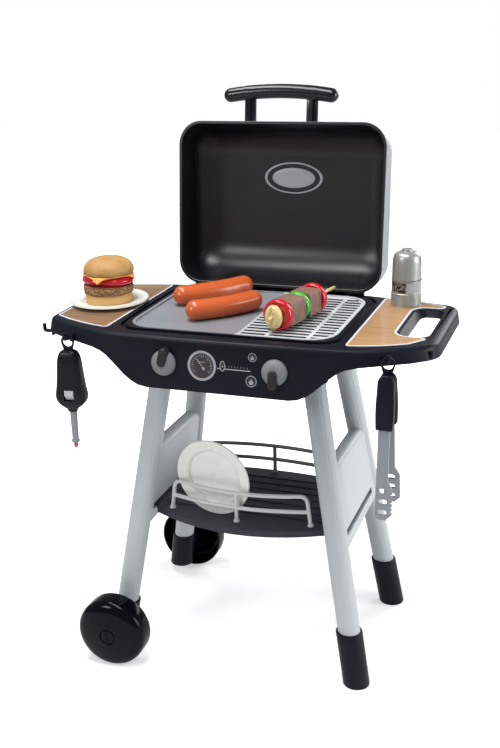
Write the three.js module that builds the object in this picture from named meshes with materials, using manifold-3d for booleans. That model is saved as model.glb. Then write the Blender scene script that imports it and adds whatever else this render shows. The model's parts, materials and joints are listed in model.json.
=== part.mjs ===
// Toy barbecue grill with its play food and tools, in millimetres.
// +Z is up, -Y faces the child who cooks, and x = 0 is the middle of the lid.
import * as THREE from 'three';
import { mergeVertices } from 'three/addons/utils/BufferGeometryUtils.js';
import Module from 'manifold-3d';

const wasm = await Module();
wasm.setup();

const Vec2 = THREE.Vector2;
const Vec3 = THREE.Vector3;
const radians = THREE.MathUtils.degToRad;
const lerp = THREE.MathUtils.lerp;

// Clearances
const seatGap = 0.3;
const overrun = 6;
const weldDistance = 0.0005;

// Deck
const deckTop = 468;
const leftWingLength = 97.9;
const rightWingLength = 109.4;
const deckFront = 139;
const deckBack = 125;
const frontBowRadius = 3000;
const backBow = 34.6275;
const wingStartInset = 17.1;
const wingRadius = 175;
const frontCornerRadius = 36;
const backCornerRadius = 22;
const deckWall = 3;
const deckEdge = 3;
const deckFlare = 8;
const wingDepth = 22;
const wingMouthStart = 176;
const wingMouthRim = 4;
const panelDepth = 65;
const skirtInner = 92;
const skirtOuter = 168;
const skirtTopPull = 28;
const skirtBottomPull = 33;
const panelLedgeDrop = 6;
const panelInset = 3.5;
const panelLean = 7.5;
const panelSideRoom = 2.9;

// Handle hole in the right wing
const holeLength = 50;
const holeEndWidth = 6.5;
const holeFront = -59;
const holeBack = 65;
const holeCorner = 15;
const holeWaistDrop = 10;
const holeWaistLeft = 8;
const holeWaistRight = 1;
const holeWaistFront = 9;
const holeWaistBack = 5;

// Lid rim, groove and the frame round the cooking plate
const lidHalfWidth = 147.1;
const lidFront = -117.4;
const lidBack = 108.4;
const lidCorner = 33;
const grooveDepth = 3;
const grooveRoom = 0.8;
const grooveLinerRoom = 1.7;
const grooveHingeRoom = 2.5;
const plateSideRoom = 11.6;
const plateFront = -108.5;
const plateBack = 98;
const plateCorner = 34.5;
const plateRoom = 0.5;
const plateRise = 2;
const plateDepth = 7.7;
const plateRimWidth = 4;
const plateRimHeight = 2.2;
const plateSkin = 3;
const ledgeWidth = 5;
const frameBead = 1.2;
const basinDepth = 18;

// Grate slots of the cooking plate
const grateLeft = 17;
const grateSideRim = 6.5;
const grateFront = -100;
const grateBack = 90;
const grateRows = 16;
const slotShare = 0.55;
const crossBar = 5;
const crossBarShares = [0.305, 0.77];

// Wood panels
const woodThick = 0.8;
const woodRoomLeft = 7.9;
const woodRoomRight = 6.9;
const woodOuterInset = 4;
const woodFrontInset = 17;
const woodBackInset = 6;
const woodCorner = 5;
const woodHoleRim = 3.5;
const woodTipInset = 15;

// Lid
const lidHeight = 82;
const lidFall = 16.4;
const shellWall = 2.2;
const linerWall = 1.6;
const flangeThick = 1.5;
const sideCrown = 33;
const backCrown = 52;
const frontCrown = 40;
const crownCornerLoss = 20;
const sideDraft = 0.035;
const frontDraft = 0.14;
const crownSteps = 5;
const pivotBehind = 1;
const pivotAbove = 5.2;
const lidOpenDegrees = 96.2;

// Lid hinges
const hingeFromEnd = 38.1;
const earWidth = 18;
const lugWidth = 4.2;
const hingePinRadius = 1.5;
const pinSides = 12;
const hingeRadius = 3.1;
const pinHeadRadius = 2.6;
const pinHeadThick = 1;
const lugDepth = 4.6;

// Lid handle
const gripHalfLength = 81;
const gripMiddle = -6.5;
const gripRadius = 9.6;
const gripArch = 7;
const gripReach = 36.4;
const gripAboveRim = 25;
const postX = 44;
const postWidth = 15;
const postThick = 6;
const postRibWidth = 4;
const postRibHeight = 17;
const collarWall = 2.4;

// Badge inside the lid
const badgeLength = 86;
const badgeHeight = 44;
const badgeThick = 1;
const badgeRelief = 0.8;
const badgeRing = 3;
const badgeCentreShare = 0.77;
const badgeX = 1;
const badgeFromPivot = 149.1;

// Knobs on the panel
const knobX = 71.5;
const knobCentreShift = 3.5;
const knobDrop = 32;
const knobRadius = 16;
const knobHeight = 10;
const knobShaftRadius = 4;
const knobShaftLength = 7;
const knobGripWidth = 11.5;
const knobGripTop = 13.5;
const knobGripFloor = 4;
const knobGripInner = 4;
const knobGripOuter = 20;
const leftKnobTurn = -10;
const rightKnobTurn = 180;

// Legs
const legRadius = 14.5;
const legTopRoom = 9;
const legRefHeight = 383.3;
const legRefX = 106;
const legFootX = 170.9;
const legRefFront = -69.4;
const legFootFront = -105.9;
const legRefBack = 73;
const legFootBack = 114.4;
const socketWall = 3.2;
const socketRise = 1;
const sleeveWall = 2.55;
const sleeveTop = 76;
const sleeveFloor = 3.7;
const leftLegLift = 11;

// Gusset between the legs of one side
const gussetTop = 289;
const gussetBottom = 171;
const gussetThick = 22;
const gussetBevel = 6;
const gussetCorner = 16;
const gussetOverlap = 5;

// Wheels
const wheelRadius = 48.3;
const wheelX = -157.5;
const wheelWidth = 36;
const wheelWall = 3;
const wheelTread = 20;
const wheelFrontFace = -139;
const wheelBackFace = 127.5;
const axleRadius = 5;
const axleHeadRadius = 10;
const axleHeadThick = 2.5;
const axleSlotWidth = 3;
const axleSlotLength = 14;
const axleSlotDepth = 1.2;
const hubWall = 5;
const wheelDishDrop = 3;
const axleBossRadius = 9.5;

// Shelf
const shelfTop = 201;
const shelfDeep = 9;
const shelfSideRoom = 4.87;
const shelfFrontEnd = -70;
const shelfFrontMid = -103;
const shelfBackEnd = 79;
const shelfBackMid = 92;
const shelfWall = 2.6;
const shelfRibs = 7;
const shelfRibWidth = 3;
const shelfRibHeight = 1.2;
const shelfRibFront = -52;
const shelfRibBack = 64;
const shelfRibEnd = 8;
const tabThick = 5;
const tabFront = -56;
const tabBack = 66;
const tabDeep = 3;

// Rails on the shelf
const railRadius = 2.75;
const railHeight = 41;
const railLowShare = 0.49;
const railEndX = 98;
const railBend = 9;
const railFrontEnd = -68;
const railFrontMid = -82.5;
const railBackEnd = 73;
const railBackMid = 84;
const railFootRadius = 4.5;
const railFootHeight = 4;

// Hooks
const hookRadius = 2;
const hookReach = 14;
const hookRise = 9;
const hookBend = 3;
const hookPlateWidth = 8;
const hookPlateHeight = 10;
const hookPlateThick = 1.6;
const ringOut = 8.5;
const endHookY = -88;
const endHookDrop = 18;

// Rings that hang on the hooks
const ringOuter = 9;
const ringInner = 6;
const ringThick = 3;

// Tongs
const tongsFromEnd = 53;
const tongsRingDrop = 14;
const tongsDrop = 12;
const tongsGripWidth = 21.7;
const tongsGripLength = 66;
const tongsGripThick = 9;
const tongsGripCorner = 8;
const tongsArmWidth = 13.7;
const tongsArmThick = 4;
const tongsArmInset = 18;
const tongsLength = 176;
const tongsHeadLength = 45;
const tongsHeadWidth = 19.8;
const tongsTeeth = 6;
const tongsToothDepth = 2.4;
const tongsSlots = 3;
const tongsSlotWidth = 11;
const tongsSlotHeight = 6.5;
const tongsFrontTilt = 6;
const tongsBackTilt = 8;

// Lighter
const lighterFromEnd = 43.5;
const lighterRingDrop = 19;
const lighterTurn = 5;
const lighterLength = 83;
const lighterDrop = 11;
const lighterHalfWidth = 20.5;
const lighterHalfDepth = 11;
const windowWidth = 14;
const windowHeight = 15;
const windowDrop = 54.5;
const windowDepth = 15;
const triggerDepth = 9;
const triggerStep = 4;
const barrelRadius = 4.9;
const barrelLength = 44;
const barrelSeat = 6;
const barrelCollar = 5.6;
const barrelCollarHeight = 3;
const tipRadius = 3;
const tipLength = 8.5;
const tipSeat = 4;

// Mill
const millFromEnd = 70;
const millY = 81;
const millRadius = 20;
const millHeight = 74;
const millSplit = 34;
const millSpigot = 5;
const millWaist = 18.7;
const millKnobRadius = 7;
const millKnobHeight = 3;

// Plates
const burgerFromEnd = 42;
const burgerPlateY = -10;
const burgerPlateRadius = 53.5;
const shelfPlateRadius = 54;
const shelfPlateX = -36;
const shelfPlateLean = 4;
const dishWall = 2.2;
const dishRimWidth = 17;
const dishRimRise = 5;

// Burger
const bunRadius = 34.5;
const bunBottomRadius = 31.5;
const bunBottomHeight = 13;
const pattyRadius = 33.5;
const pattyHeight = 11.5;
const tomatoRadius = 27;
const tomatoHeight = 10;
const tomatoOffset = 8;
const tomatoDegrees = [-2, 178];
const cheeseSide = 64;
const cheeseThick = 2.6;
const cheeseGrid = 10;
const cheeseFold = 37.6;
const cheeseFoldDegrees = 55;
const cheeseDegrees = 54;
const bunTopHeight = 23.5;

// Sausages and skewer on the cooking plate
const sausageRadius = 13.4;
const sausageBend = 8;
const sausageEnds = {
  sausage_back: [[-107, 0], [-29, 91]],
  sausage_front: [[-63, -65], [11, 18]],
};
const skewerFrom = [56, -92];
const skewerTo = [91.5, 73];
const stickRadius = 2;
const stickTail = 6;
const onionRadius = 15.5;
const onionLength = 12;
const pepperRadius = 20;
const pepperLength = 10;
const greenRadius = 18;
const meatSide = 31;
const skewerPitch = 0.4;

// Facets
const cornerSteps = 4;
const rimSteps = 5;
const deckFrontSteps = 18;
const deckBackSteps = 8;
const smallSides = 8;
const mediumSides = 14;
const legSides = 16;
const largeSides = 24;

// Values that follow from the sizes above
const deckLeft = lidHalfWidth + leftWingLength;
const deckRight = lidHalfWidth + rightWingLength;
const wingStart = lidHalfWidth - wingStartInset;
const holeRight = deckRight - holeEndWidth;
const holeLeft = holeRight - holeLength;
const plateHalfWidth = lidHalfWidth - plateSideRoom;
const grateRight = plateHalfWidth - grateSideRim;
const woodInnerLeft = lidHalfWidth + woodRoomLeft;
const woodInnerRight = lidHalfWidth + woodRoomRight;
const hingeX = lidHalfWidth - hingeFromEnd;
const panelHalfWidth = lidHalfWidth + panelSideRoom;
const tongsX = deckRight - tongsFromEnd;
const lighterX = lighterFromEnd - deckLeft;
const millX = deckRight - millFromEnd;
const burgerPlateX = burgerFromEnd - deckLeft;
const panelBottom = deckTop - panelDepth;
const beltHeight = deckTop - deckEdge;
const legSlope = (legFootX - legRefX) / legRefHeight;
const shelfHalfWidth = legRefX + legSlope * (legRefHeight - shelfTop) - gussetThick / 2 - shelfSideRoom;
const socketLow = panelBottom + socketRise;
const legTopHeight = deckTop - basinDepth - deckWall - legTopRoom;
const tongsRingHeight = deckTop - tongsRingDrop;
const lighterRingHeight = deckTop - lighterRingDrop;
const grooveInnerRoom = shellWall + seatGap + linerWall + grooveLinerRoom;
const grooveInnerBack = shellWall + seatGap + linerWall + grooveHingeRoom;
const lidRim = deckTop - grooveDepth / 2;
const pivotY = lidBack + pivotBehind;
const pivotZ = lidRim + pivotAbove;
const plateTop = deckTop + plateRise;
const plateBottom = plateTop - plateDepth;
const cookingTop = plateTop - plateRimHeight;
const woodTop = deckTop + seatGap + woodThick;
const gripY = lidFront - gripReach;
const gripZ = lidRim + gripAboveRim;

// Solids: every shape is a closed three.js geometry, joined and cut as a manifold

function toSolid(geometry) {
  const bare = geometry.clone();
  bare.deleteAttribute('normal');
  bare.deleteAttribute('uv');
  const merged = mergeVertices(bare, weldDistance);
  return new wasm.Manifold(new wasm.Mesh({
    numProp: 3,
    vertProperties: Float32Array.from(merged.attributes.position.array),
    triVerts: Uint32Array.from(merged.index.array),
  }));
}

function toGeometry(solid) {
  const mesh = solid.getMesh();
  const geometry = new THREE.BufferGeometry();
  geometry.setAttribute('position', new THREE.BufferAttribute(mesh.vertProperties, mesh.numProp));
  geometry.setIndex(new THREE.BufferAttribute(mesh.triVerts, 1));
  return geometry;
}

function join(...geometries) {
  return toGeometry(geometries.map(toSolid).reduce((sum, next) => sum.add(next)));
}

function cut(geometry, ...tools) {
  return toGeometry(tools.map(toSolid).reduce((rest, tool) => rest.subtract(tool), toSolid(geometry)));
}

function common(geometry, other) {
  return toGeometry(toSolid(geometry).intersect(toSolid(other)));
}

// Basic shapes

function box(x0, x1, y0, y1, z0, z1) {
  const geometry = new THREE.BoxGeometry(x1 - x0, y1 - y0, z1 - z0);
  return geometry.translate((x0 + x1) / 2, (y0 + y1) / 2, (z0 + z1) / 2);
}

function prism(points, z0, z1, bevel = 0) {
  const options = { depth: z1 - z0 - 2 * bevel, bevelEnabled: bevel > 0, curveSegments: cornerSteps };
  if (bevel > 0) {
    Object.assign(options, { bevelThickness: bevel, bevelSize: bevel, bevelOffset: -bevel, bevelSegments: 1 });
  }
  return new THREE.ExtrudeGeometry(new THREE.Shape(points), options).translate(0, 0, z0 + bevel);
}

// An outline in (y, z), pushed out along X
function prismX(points, x0, x1, bevel = 0) {
  const turn = new THREE.Matrix4().makeBasis(new Vec3(0, 1, 0), new Vec3(0, 0, 1), new Vec3(1, 0, 0));
  return prism(points, x0, x1, bevel).applyMatrix4(turn);
}

// An outline in (x, z), pushed out along Y
function prismY(points, y0, y1, bevel = 0) {
  const turn = new THREE.Matrix4().makeBasis(new Vec3(1, 0, 0), new Vec3(0, 0, 1), new Vec3(0, -1, 0));
  return prism(points, -y1, -y0, bevel).applyMatrix4(turn);
}

// A profile of [radius, height] pairs turned about Z
function revolve(profile, sides = largeSides) {
  const points = profile.map(([r, z]) => new Vec2(r, z));
  return new THREE.LatheGeometry(points, sides).rotateX(Math.PI / 2);
}

function rod(from, to, radius, sides = mediumSides) {
  const along = to.clone().sub(from);
  const geometry = new THREE.CylinderGeometry(radius, radius, along.length(), sides);
  const turn = new THREE.Quaternion().setFromUnitVectors(new Vec3(0, 1, 0), along.clone().normalize());
  const middle = from.clone().add(to).multiplyScalar(0.5);
  return geometry.applyQuaternion(turn).translate(middle.x, middle.y, middle.z);
}

// Corners are [x, y, radius]; those with a radius become arcs
function rounded(corners, steps = cornerSteps) {
  const points = [];
  corners.forEach(([x, y, radius = 0], i) => {
    const here = new Vec2(x, y);
    if (radius <= 0) {
      points.push(here);
      return;
    }
    const [px, py] = corners.at(i - 1);
    const [nx, ny] = corners[(i + 1) % corners.length];
    const back = new Vec2(px - x, py - y).normalize();
    const ahead = new Vec2(nx - x, ny - y).normalize();
    const half = Math.acos(back.dot(ahead)) / 2;
    const middle = back.clone().add(ahead).setLength(radius / Math.sin(half)).add(here);
    const start = here.clone().addScaledVector(back, radius / Math.tan(half)).sub(middle);
    const end = here.clone().addScaledVector(ahead, radius / Math.tan(half)).sub(middle);
    const sweep = Math.atan2(start.cross(end), start.dot(end));
    for (let k = 0; k <= steps; k++) {
      points.push(start.clone().rotateAround(new Vec2(), sweep * k / steps).add(middle));
    }
  });
  return points;
}

function rectangle(x0, x1, y0, y1, radius, steps = cornerSteps) {
  return rounded([[x0, y0, radius], [x1, y0, radius], [x1, y1, radius], [x0, y1, radius]], steps);
}

function ellipse(a, b, sides = largeSides) {
  return Array.from({ length: sides }, (_, i) => {
    const angle = 2 * Math.PI * i / sides;
    return new Vec2(a * Math.cos(angle), b * Math.sin(angle));
  });
}

// Moves each point of a loop outwards by the same distance
function grown(points, distance) {
  return points.map((here, i) => {
    const before = here.clone().sub(points.at(i - 1)).normalize();
    const after = points[(i + 1) % points.length].clone().sub(here).normalize();
    const outward = new Vec2(before.y + after.y, -before.x - after.x).normalize();
    const stretch = new Vec2(before.y, -before.x).dot(outward);
    return here.clone().addScaledVector(outward, distance / stretch);
  });
}

function atHeight(points, z) {
  return points.map((p) => new Vec3(p.x, p.y, z));
}

function capFaces(ring, start, side) {
  const normal = new Vec3();
  ring.forEach((p, i) => normal.add(new Vec3().crossVectors(p, ring[(i + 1) % ring.length])));
  normal.normalize();
  const across = ring[1].clone().sub(ring[0]).normalize();
  const up = new Vec3().crossVectors(normal, across);
  const flat = ring.map((p) => new Vec2(p.dot(across), p.dot(up)));
  return THREE.ShapeUtils.triangulateShape(flat, []).flatMap(([a, b, c]) => {
    const turn = flat[b].clone().sub(flat[a]).cross(flat[c].clone().sub(flat[a]));
    return (turn * side > 0 ? [a, b, c] : [a, c, b]).map((i) => i + start);
  });
}

// A closed skin over rings of equally many points, counter-clockwise seen from the last ring
function loft(rings) {
  const count = rings[0].length;
  const faces = [];
  for (let k = 0; k < rings.length - 1; k++) {
    for (let i = 0; i < count; i++) {
      const [a, b] = [k * count + i, k * count + (i + 1) % count];
      faces.push(a, b, b + count, a, b + count, a + count);
    }
  }
  faces.push(...capFaces(rings[0], 0, -1), ...capFaces(rings.at(-1), (rings.length - 1) * count, 1));
  const geometry = new THREE.BufferGeometry();
  const positions = rings.flat().flatMap((p) => [p.x, p.y, p.z]);
  geometry.setAttribute('position', new THREE.Float32BufferAttribute(positions, 3));
  geometry.setIndex(faces);
  return geometry;
}

// Round rings along stations of {point, along, radius}, turned as little as possible
function sweep(stations, sides) {
  let across = new Vec3(0, 0, 1);
  if (Math.abs(stations[0].along.z) > 0.9) {
    across = new Vec3(1, 0, 0);
  }
  return loft(stations.map(({ point, along, radius }) => {
    across = across.clone().addScaledVector(along, -across.dot(along)).normalize();
    const up = new Vec3().crossVectors(along, across);
    return ellipse(radius, radius, sides).map((p) => point.clone().addScaledVector(across, p.x).addScaledVector(up, p.y));
  }));
}

// A tube of one radius along a path of lines and bends
function tube(path, radius, sides, bendSteps = 3) {
  const points = path.getPoints(bendSteps);
  return sweep(points.map((point, i) => {
    const before = points[Math.max(i - 1, 0)];
    const after = points[Math.min(i + 1, points.length - 1)];
    return { point, along: after.clone().sub(before).normalize(), radius };
  }), sides);
}

// A bar along a curve with half-round ends
function roundBar(curve, radius, sides, bodySteps, endSteps = 3) {
  const length = curve.getLength();
  const ends = [];
  for (let k = 0; k < endSteps; k++) {
    const angle = Math.PI / 2 * (k + endSteps / 10) / endSteps;
    ends.push([radius * (1 - Math.cos(angle)), radius * Math.sin(angle)]);
  }
  const body = [];
  for (let k = 0; k <= bodySteps; k++) {
    body.push([lerp(radius, length - radius, k / bodySteps), radius]);
  }
  const all = [...ends, ...body, ...ends.map(([s, r]) => [length - s, r]).reverse()];
  return sweep(all.map(([s, r]) => ({
    point: curve.getPointAt(s / length),
    along: curve.getTangentAt(s / length),
    radius: r,
  })), sides);
}

// Materials and nodes

function paint(colour, roughness, metalness = 0) {
  return new THREE.MeshStandardMaterial({ color: colour, roughness, metalness });
}

const blackPlastic = paint(0x23262d, 0.45);
const glossBlack = paint(0x14151a, 0.15);
const greyPlastic = paint(0xb4b9bb, 0.45);
const plateGrey = paint(0xa3a8ad, 0.4);
const shellGrey = paint(0xc3c7ca, 0.4);
const woodPrint = paint(0xc08a58, 0.5);
const steel = paint(0x8d9096, 0.3, 1);
const knobGrey = paint(0xa6a8aa, 0.55);
const whitePlastic = paint(0xdfe2dc, 0.35);
const millSilver = paint(0xaeb3ac, 0.35, 0.3);
const redPlastic = paint(0xd0142f, 0.25);
const greenPlastic = paint(0x3fa535, 0.25);
const bunTan = paint(0xdfae6b, 0.6);
const meatBrown = paint(0x7d5a4a, 0.7);
const cheeseYellow = paint(0xf3b54a, 0.4);
const sausageOrange = paint(0xd2622a, 0.25);
const onionCream = paint(0xe3d2a0, 0.4);
const stickWood = paint(0xd8bd86, 0.6);

const grill = new THREE.Group();

function place(parent, name, geometry, material) {
  const mesh = new THREE.Mesh(geometry, material);
  mesh.name = name;
  parent.add(mesh);
  return mesh;
}

function pivot(parent, x, y, z) {
  const group = new THREE.Group();
  group.position.set(x, y, z);
  parent.add(group);
  return group;
}

// Deck outline, as the eye sees it from above

function frontEdge(x) {
  const bow = Math.min(Math.abs(x), wingStart) ** 2 / (2 * frontBowRadius);
  const out = Math.max(Math.abs(x) - wingStart, 0);
  return bow - deckFront + wingRadius - Math.sqrt(wingRadius ** 2 - out ** 2);
}

function backEdge(x) {
  return deckBack - backBow * (x / deckRight) ** 2;
}

function between(from, to, steps, height) {
  return Array.from({ length: steps - 1 }, (_, i) => {
    const x = lerp(from, to, (i + 1) / steps);
    return [x, height(x)];
  });
}

const deckOutline = rounded([
  [-deckLeft, frontEdge(-deckLeft), frontCornerRadius / 2],
  ...between(-deckLeft, deckRight, deckFrontSteps, frontEdge),
  [deckRight, frontEdge(deckRight), frontCornerRadius],
  [deckRight, backEdge(deckRight), backCornerRadius],
  ...between(deckRight, -deckLeft, deckBackSteps, backEdge),
  [-deckLeft, backEdge(-deckLeft), backCornerRadius],
]);

// How far the wall has flared out at a height under the belt
function flareAt(z) {
  return deckFlare * (beltHeight - z) / (beltHeight - panelBottom);
}

function deckLoft(inset, top, bottom) {
  const levels = [[bottom, flareAt(bottom)], [Math.min(beltHeight, top), 0]];
  if (top > beltHeight) {
    levels.push([top - deckEdge / 3, -deckEdge / 3], [top, -deckEdge]);
  }
  return loft(levels.map(([z, grow]) => atHeight(grown(deckOutline, grow - inset), z)));
}

// The control panel is one flat face, which leans out towards its foot
function panelY(z) {
  return panelInset - deckFront - panelLean * (beltHeight - z) / (beltHeight - panelBottom);
}

function inFrontOfPanel(shift) {
  const high = deckTop - panelLedgeDrop;
  const low = panelBottom - overrun;
  const far = -deckFront * 2;
  const outline = [[far, low], [panelY(low) + shift, low], [panelY(high) + shift, high], [far, high]];
  return prismX(outline.map(([y, z]) => new Vec2(y, z)), -panelHalfWidth, panelHalfWidth);
}

// Under the wings the skirt rises in an S-curve from the panel's foot
function underSkirt(side, shift) {
  const wingLow = deckTop - wingDepth;
  const curve = new THREE.CubicBezierCurve(
    new Vec2(skirtOuter, wingLow),
    new Vec2(skirtOuter - skirtTopPull, wingLow),
    new Vec2(skirtInner + skirtBottomPull, panelBottom),
    new Vec2(skirtInner, panelBottom),
  );
  const steps = 2 * cornerSteps;
  const line = Array.from({ length: steps + 1 }, (_, i) => {
    const tangent = curve.getTangent(i / steps);
    return curve.getPoint(i / steps).add(new Vec2(tangent.y, -tangent.x).multiplyScalar(shift));
  });
  const low = panelBottom - overrun;
  const far = deckRight * 2;
  const outline = [new Vec2(far, wingLow + shift), ...line];
  if (shift > 0) {
    outline.push(new Vec2(skirtInner - shift, panelBottom + shift));
  }
  outline.push(new Vec2(skirtInner - shift, low), new Vec2(far, low));
  const sided = outline.map((p) => new Vec2(side * p.x, p.y));
  return prismY(side > 0 ? sided : sided.reverse(), -deckFront * 2, deckBack * 2);
}

function holeLoft(wall, top, bottom) {
  const levels = [
    [bottom, 1], [deckTop - wingDepth, 1], [deckTop - holeWaistDrop, 0], [deckTop - deckEdge / 3, 1], [top, 1],
  ];
  const kept = levels.filter(([z], i) => i === 0 || z > levels[i - 1][0]);
  return loft(kept.map(([z, open]) => {
    const narrow = 1 - open;
    return atHeight(rectangle(
      holeLeft + narrow * holeWaistLeft - wall, holeRight - narrow * holeWaistRight + wall,
      holeFront + narrow * holeWaistFront - wall, holeBack - narrow * holeWaistBack + wall, holeCorner + wall,
    ), z);
  }));
}

// Legs: straight lines that lean outwards towards the floor

function legPoint(side, end, z) {
  const share = (legRefHeight - z) / legRefHeight;
  const [ref, foot] = end === 'front' ? [legRefFront, legFootFront] : [legRefBack, legFootBack];
  return new Vec3(side * lerp(legRefX, legFootX, share), lerp(ref, foot, share), z);
}

function legRod(side, end, z0, z1, radius) {
  const reach = radius;
  const long = rod(legPoint(side, end, z0 - reach), legPoint(side, end, z1 + reach), radius, legSides);
  const far = deckRight * 2;
  return common(long, box(-far, far, -far, far, z0, z1));
}

const corners = [-1, 1].flatMap((side) => ['front', 'back'].map((end) => ({ side, end })));

function rimRectangle(room, backRoom = room) {
  return rectangle(
    -lidHalfWidth - room, lidHalfWidth + room, lidFront - room, lidBack + backRoom,
    lidCorner + Math.min(room, backRoom), rimSteps,
  );
}

function plateRectangle(room) {
  return rectangle(
    -plateHalfWidth - room, plateHalfWidth + room, plateFront - room, plateBack + room, plateCorner + room,
  );
}

// Knobs sit square on the leaning panel
const knobHeightOnDeck = deckTop - knobDrop;
const panelTilt = Math.PI / 2 - Math.atan2(panelLean, beltHeight - panelBottom);

function knobGroup(side) {
  const group = pivot(grill, side * knobX + knobCentreShift, panelY(knobHeightOnDeck), knobHeightOnDeck);
  group.rotation.x = panelTilt;
  return group;
}

function knobBore(side) {
  const bore = revolve([[0, -overrun], [knobShaftRadius + seatGap, -overrun],
    [knobShaftRadius + seatGap, overrun], [0, overrun]], mediumSides);
  const group = knobGroup(side);
  group.updateMatrixWorld();
  bore.applyMatrix4(group.matrixWorld);
  grill.remove(group);
  return bore;
}

function makeDeck() {
  const cavityTop = deckTop - deckWall;
  const outer = cut(deckLoft(0, deckTop, panelBottom), inFrontOfPanel(0), underSkirt(1, 0), underSkirt(-1, 0));
  const cavity = cut(
    deckLoft(deckWall, cavityTop, panelBottom - overrun),
    inFrontOfPanel(deckWall), underSkirt(1, deckWall), underSkirt(-1, deckWall),
  );
  const seatTop = plateBottom - seatGap;
  const frame = prism(rimRectangle(grooveRoom + deckWall), seatTop - deckWall, deckTop - deckEdge / 3);
  const bead = prism(rimRectangle(-grooveInnerRoom, -grooveInnerBack), deckTop - deckEdge, deckTop + frameBead);
  const basinFloor = deckTop - basinDepth;
  const basin = prism(plateRectangle(plateRoom - ledgeWidth + deckWall), basinFloor - deckWall, seatTop);
  const sockets = corners.map(({ side, end }) => legRod(
    side, end, socketLow, basinFloor - deckWall / 2, legRadius + seatGap + socketWall,
  ));
  const holeWall = holeLoft(deckWall, deckTop - deckEdge / 2, deckTop - wingDepth);
  const mouths = [-1, 1].map((side) => wingMouth(side));
  const lugs = [-1, 1].flatMap((side) => [-1, 1].map((end) => lug(side, end)));
  const solid = join(cut(outer, cavity, ...mouths), frame, bead, basin, holeWall, ...sockets, ...lugs);
  const groove = cut(
    prism(rimRectangle(grooveRoom), deckTop - grooveDepth, deckTop + frameBead + overrun),
    prism(rimRectangle(-grooveInnerRoom, -grooveInnerBack), deckTop - grooveDepth - overrun, deckTop + 2 * overrun),
    ...[-1, 1].flatMap((side) => [-1, 1].map((end) => lug(side, end))),
  );
  return cut(
    solid, groove,
    prism(plateRectangle(plateRoom), seatTop, deckTop + overrun),
    prism(plateRectangle(plateRoom - ledgeWidth), basinFloor, deckTop),
    holeLoft(0, deckTop + overrun, deckTop - wingDepth - overrun),
    ...corners.map(({ side, end }) => legRod(
      side, end, socketLow - overrun, legTopHeight + seatGap, legRadius + seatGap,
    )),
    ...[-1, 1].map((side) => hingeBore(side)),
    knobBore(-1), knobBore(1),
  );
}

// The underside of a wing is open inside its rim
function wingMouth(side) {
  const floor = deckTop - wingDepth;
  const far = deckRight * 2;
  const reach = [side * wingMouthStart, side * far].sort((a, b) => a - b);
  return common(
    deckLoft(deckWall + wingMouthRim, floor + deckWall + seatGap, floor - overrun),
    box(...reach, -far, far, floor - 2 * overrun, deckTop),
  );
}

// Hinge lugs stand on the deck, either side of the lid's ears

function hingeOutline(frontReach, low) {
  const arc = Array.from({ length: mediumSides / 2 + 1 }, (_, i) => {
    const angle = Math.PI * i / (mediumSides / 2);
    return new Vec2(pivotY + hingeRadius * Math.cos(angle), pivotZ + hingeRadius * Math.sin(angle));
  });
  return [...arc, ...frontReach, ...low];
}

function lug(side, end) {
  const inner = hingeX * side + end * (earWidth / 2 + seatGap);
  const outer = inner + end * lugWidth;
  const foot = deckTop - deckWall;
  const lowArc = new Vec2(pivotY - hingeRadius * Math.SQRT1_2, pivotZ - hingeRadius * Math.SQRT1_2);
  const neck = pivotY - seatGap - seatGap;
  const outline = hingeOutline([lowArc, new Vec2(neck, pivotZ - hingeRadius), new Vec2(neck, foot)],
    [new Vec2(pivotY + lugDepth, foot), new Vec2(pivotY + lugDepth, pivotZ - hingeRadius)]);
  return prismX(outline, Math.min(inner, outer), Math.max(inner, outer));
}

function hingeBore(side) {
  const reach = earWidth / 2 + lugWidth + overrun;
  const from = new Vec3(side * hingeX - reach, pivotY, pivotZ);
  const to = new Vec3(side * hingeX + reach, pivotY, pivotZ);
  return rod(from, to, hingePinRadius + seatGap, pinSides);
}

function hingePin(side) {
  const reach = earWidth / 2 + seatGap + lugWidth;
  const end = (x) => new Vec3(side * (hingeX + x), pivotY, pivotZ);
  return join(
    rod(end(-reach), end(reach + pinHeadThick), hingePinRadius, pinSides),
    rod(end(reach + seatGap), end(reach + seatGap + pinHeadThick), pinHeadRadius, pinSides),
  );
}

place(grill, 'deck', makeDeck(), blackPlastic);
place(grill, 'hinge_pin_left', hingePin(-1), steel);
place(grill, 'hinge_pin_right', hingePin(1), steel);

// Wood-look panels on the wings

function woodPanel(outline) {
  return prism(rounded(outline), deckTop + seatGap, woodTop);
}

function leftWood() {
  const outer = -deckLeft + woodOuterInset + deckEdge;
  const front = (x) => frontEdge(x) + woodFrontInset;
  const back = (x) => backEdge(x) - woodBackInset - deckEdge;
  return woodPanel([
    [outer, front(outer), woodCorner],
    ...between(outer, -woodInnerLeft, 4, front),
    [-woodInnerLeft, front(-woodInnerLeft), woodCorner],
    [-woodInnerLeft, back(-woodInnerLeft), woodCorner],
    ...between(-woodInnerLeft, outer, 3, back),
    [outer, back(outer), 2 * woodCorner],
  ]);
}

function rightWood() {
  const tip = deckRight - woodTipInset;
  const front = (x) => frontEdge(x) + woodFrontInset;
  const back = (x) => backEdge(x) - woodBackInset - deckEdge;
  const holeX = holeLeft - woodHoleRim;
  const holeY0 = holeFront - woodHoleRim;
  const holeY1 = holeBack + woodHoleRim;
  const around = holeCorner + woodHoleRim;
  return woodPanel([
    [woodInnerRight, front(woodInnerRight), woodCorner],
    ...between(woodInnerRight, tip, 5, front),
    [tip, holeY0 - woodCorner, woodCorner / 2],
    [tip - 2 * woodCorner, holeY0, woodCorner],
    [holeX, holeY0, around],
    [holeX, holeY1, around],
    [tip - woodCorner, holeY1, woodCorner],
    [tip, back(tip) - woodCorner, woodCorner],
    ...between(tip, woodInnerRight, 4, back),
    [woodInnerRight, back(woodInnerRight), woodCorner],
  ]);
}

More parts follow.
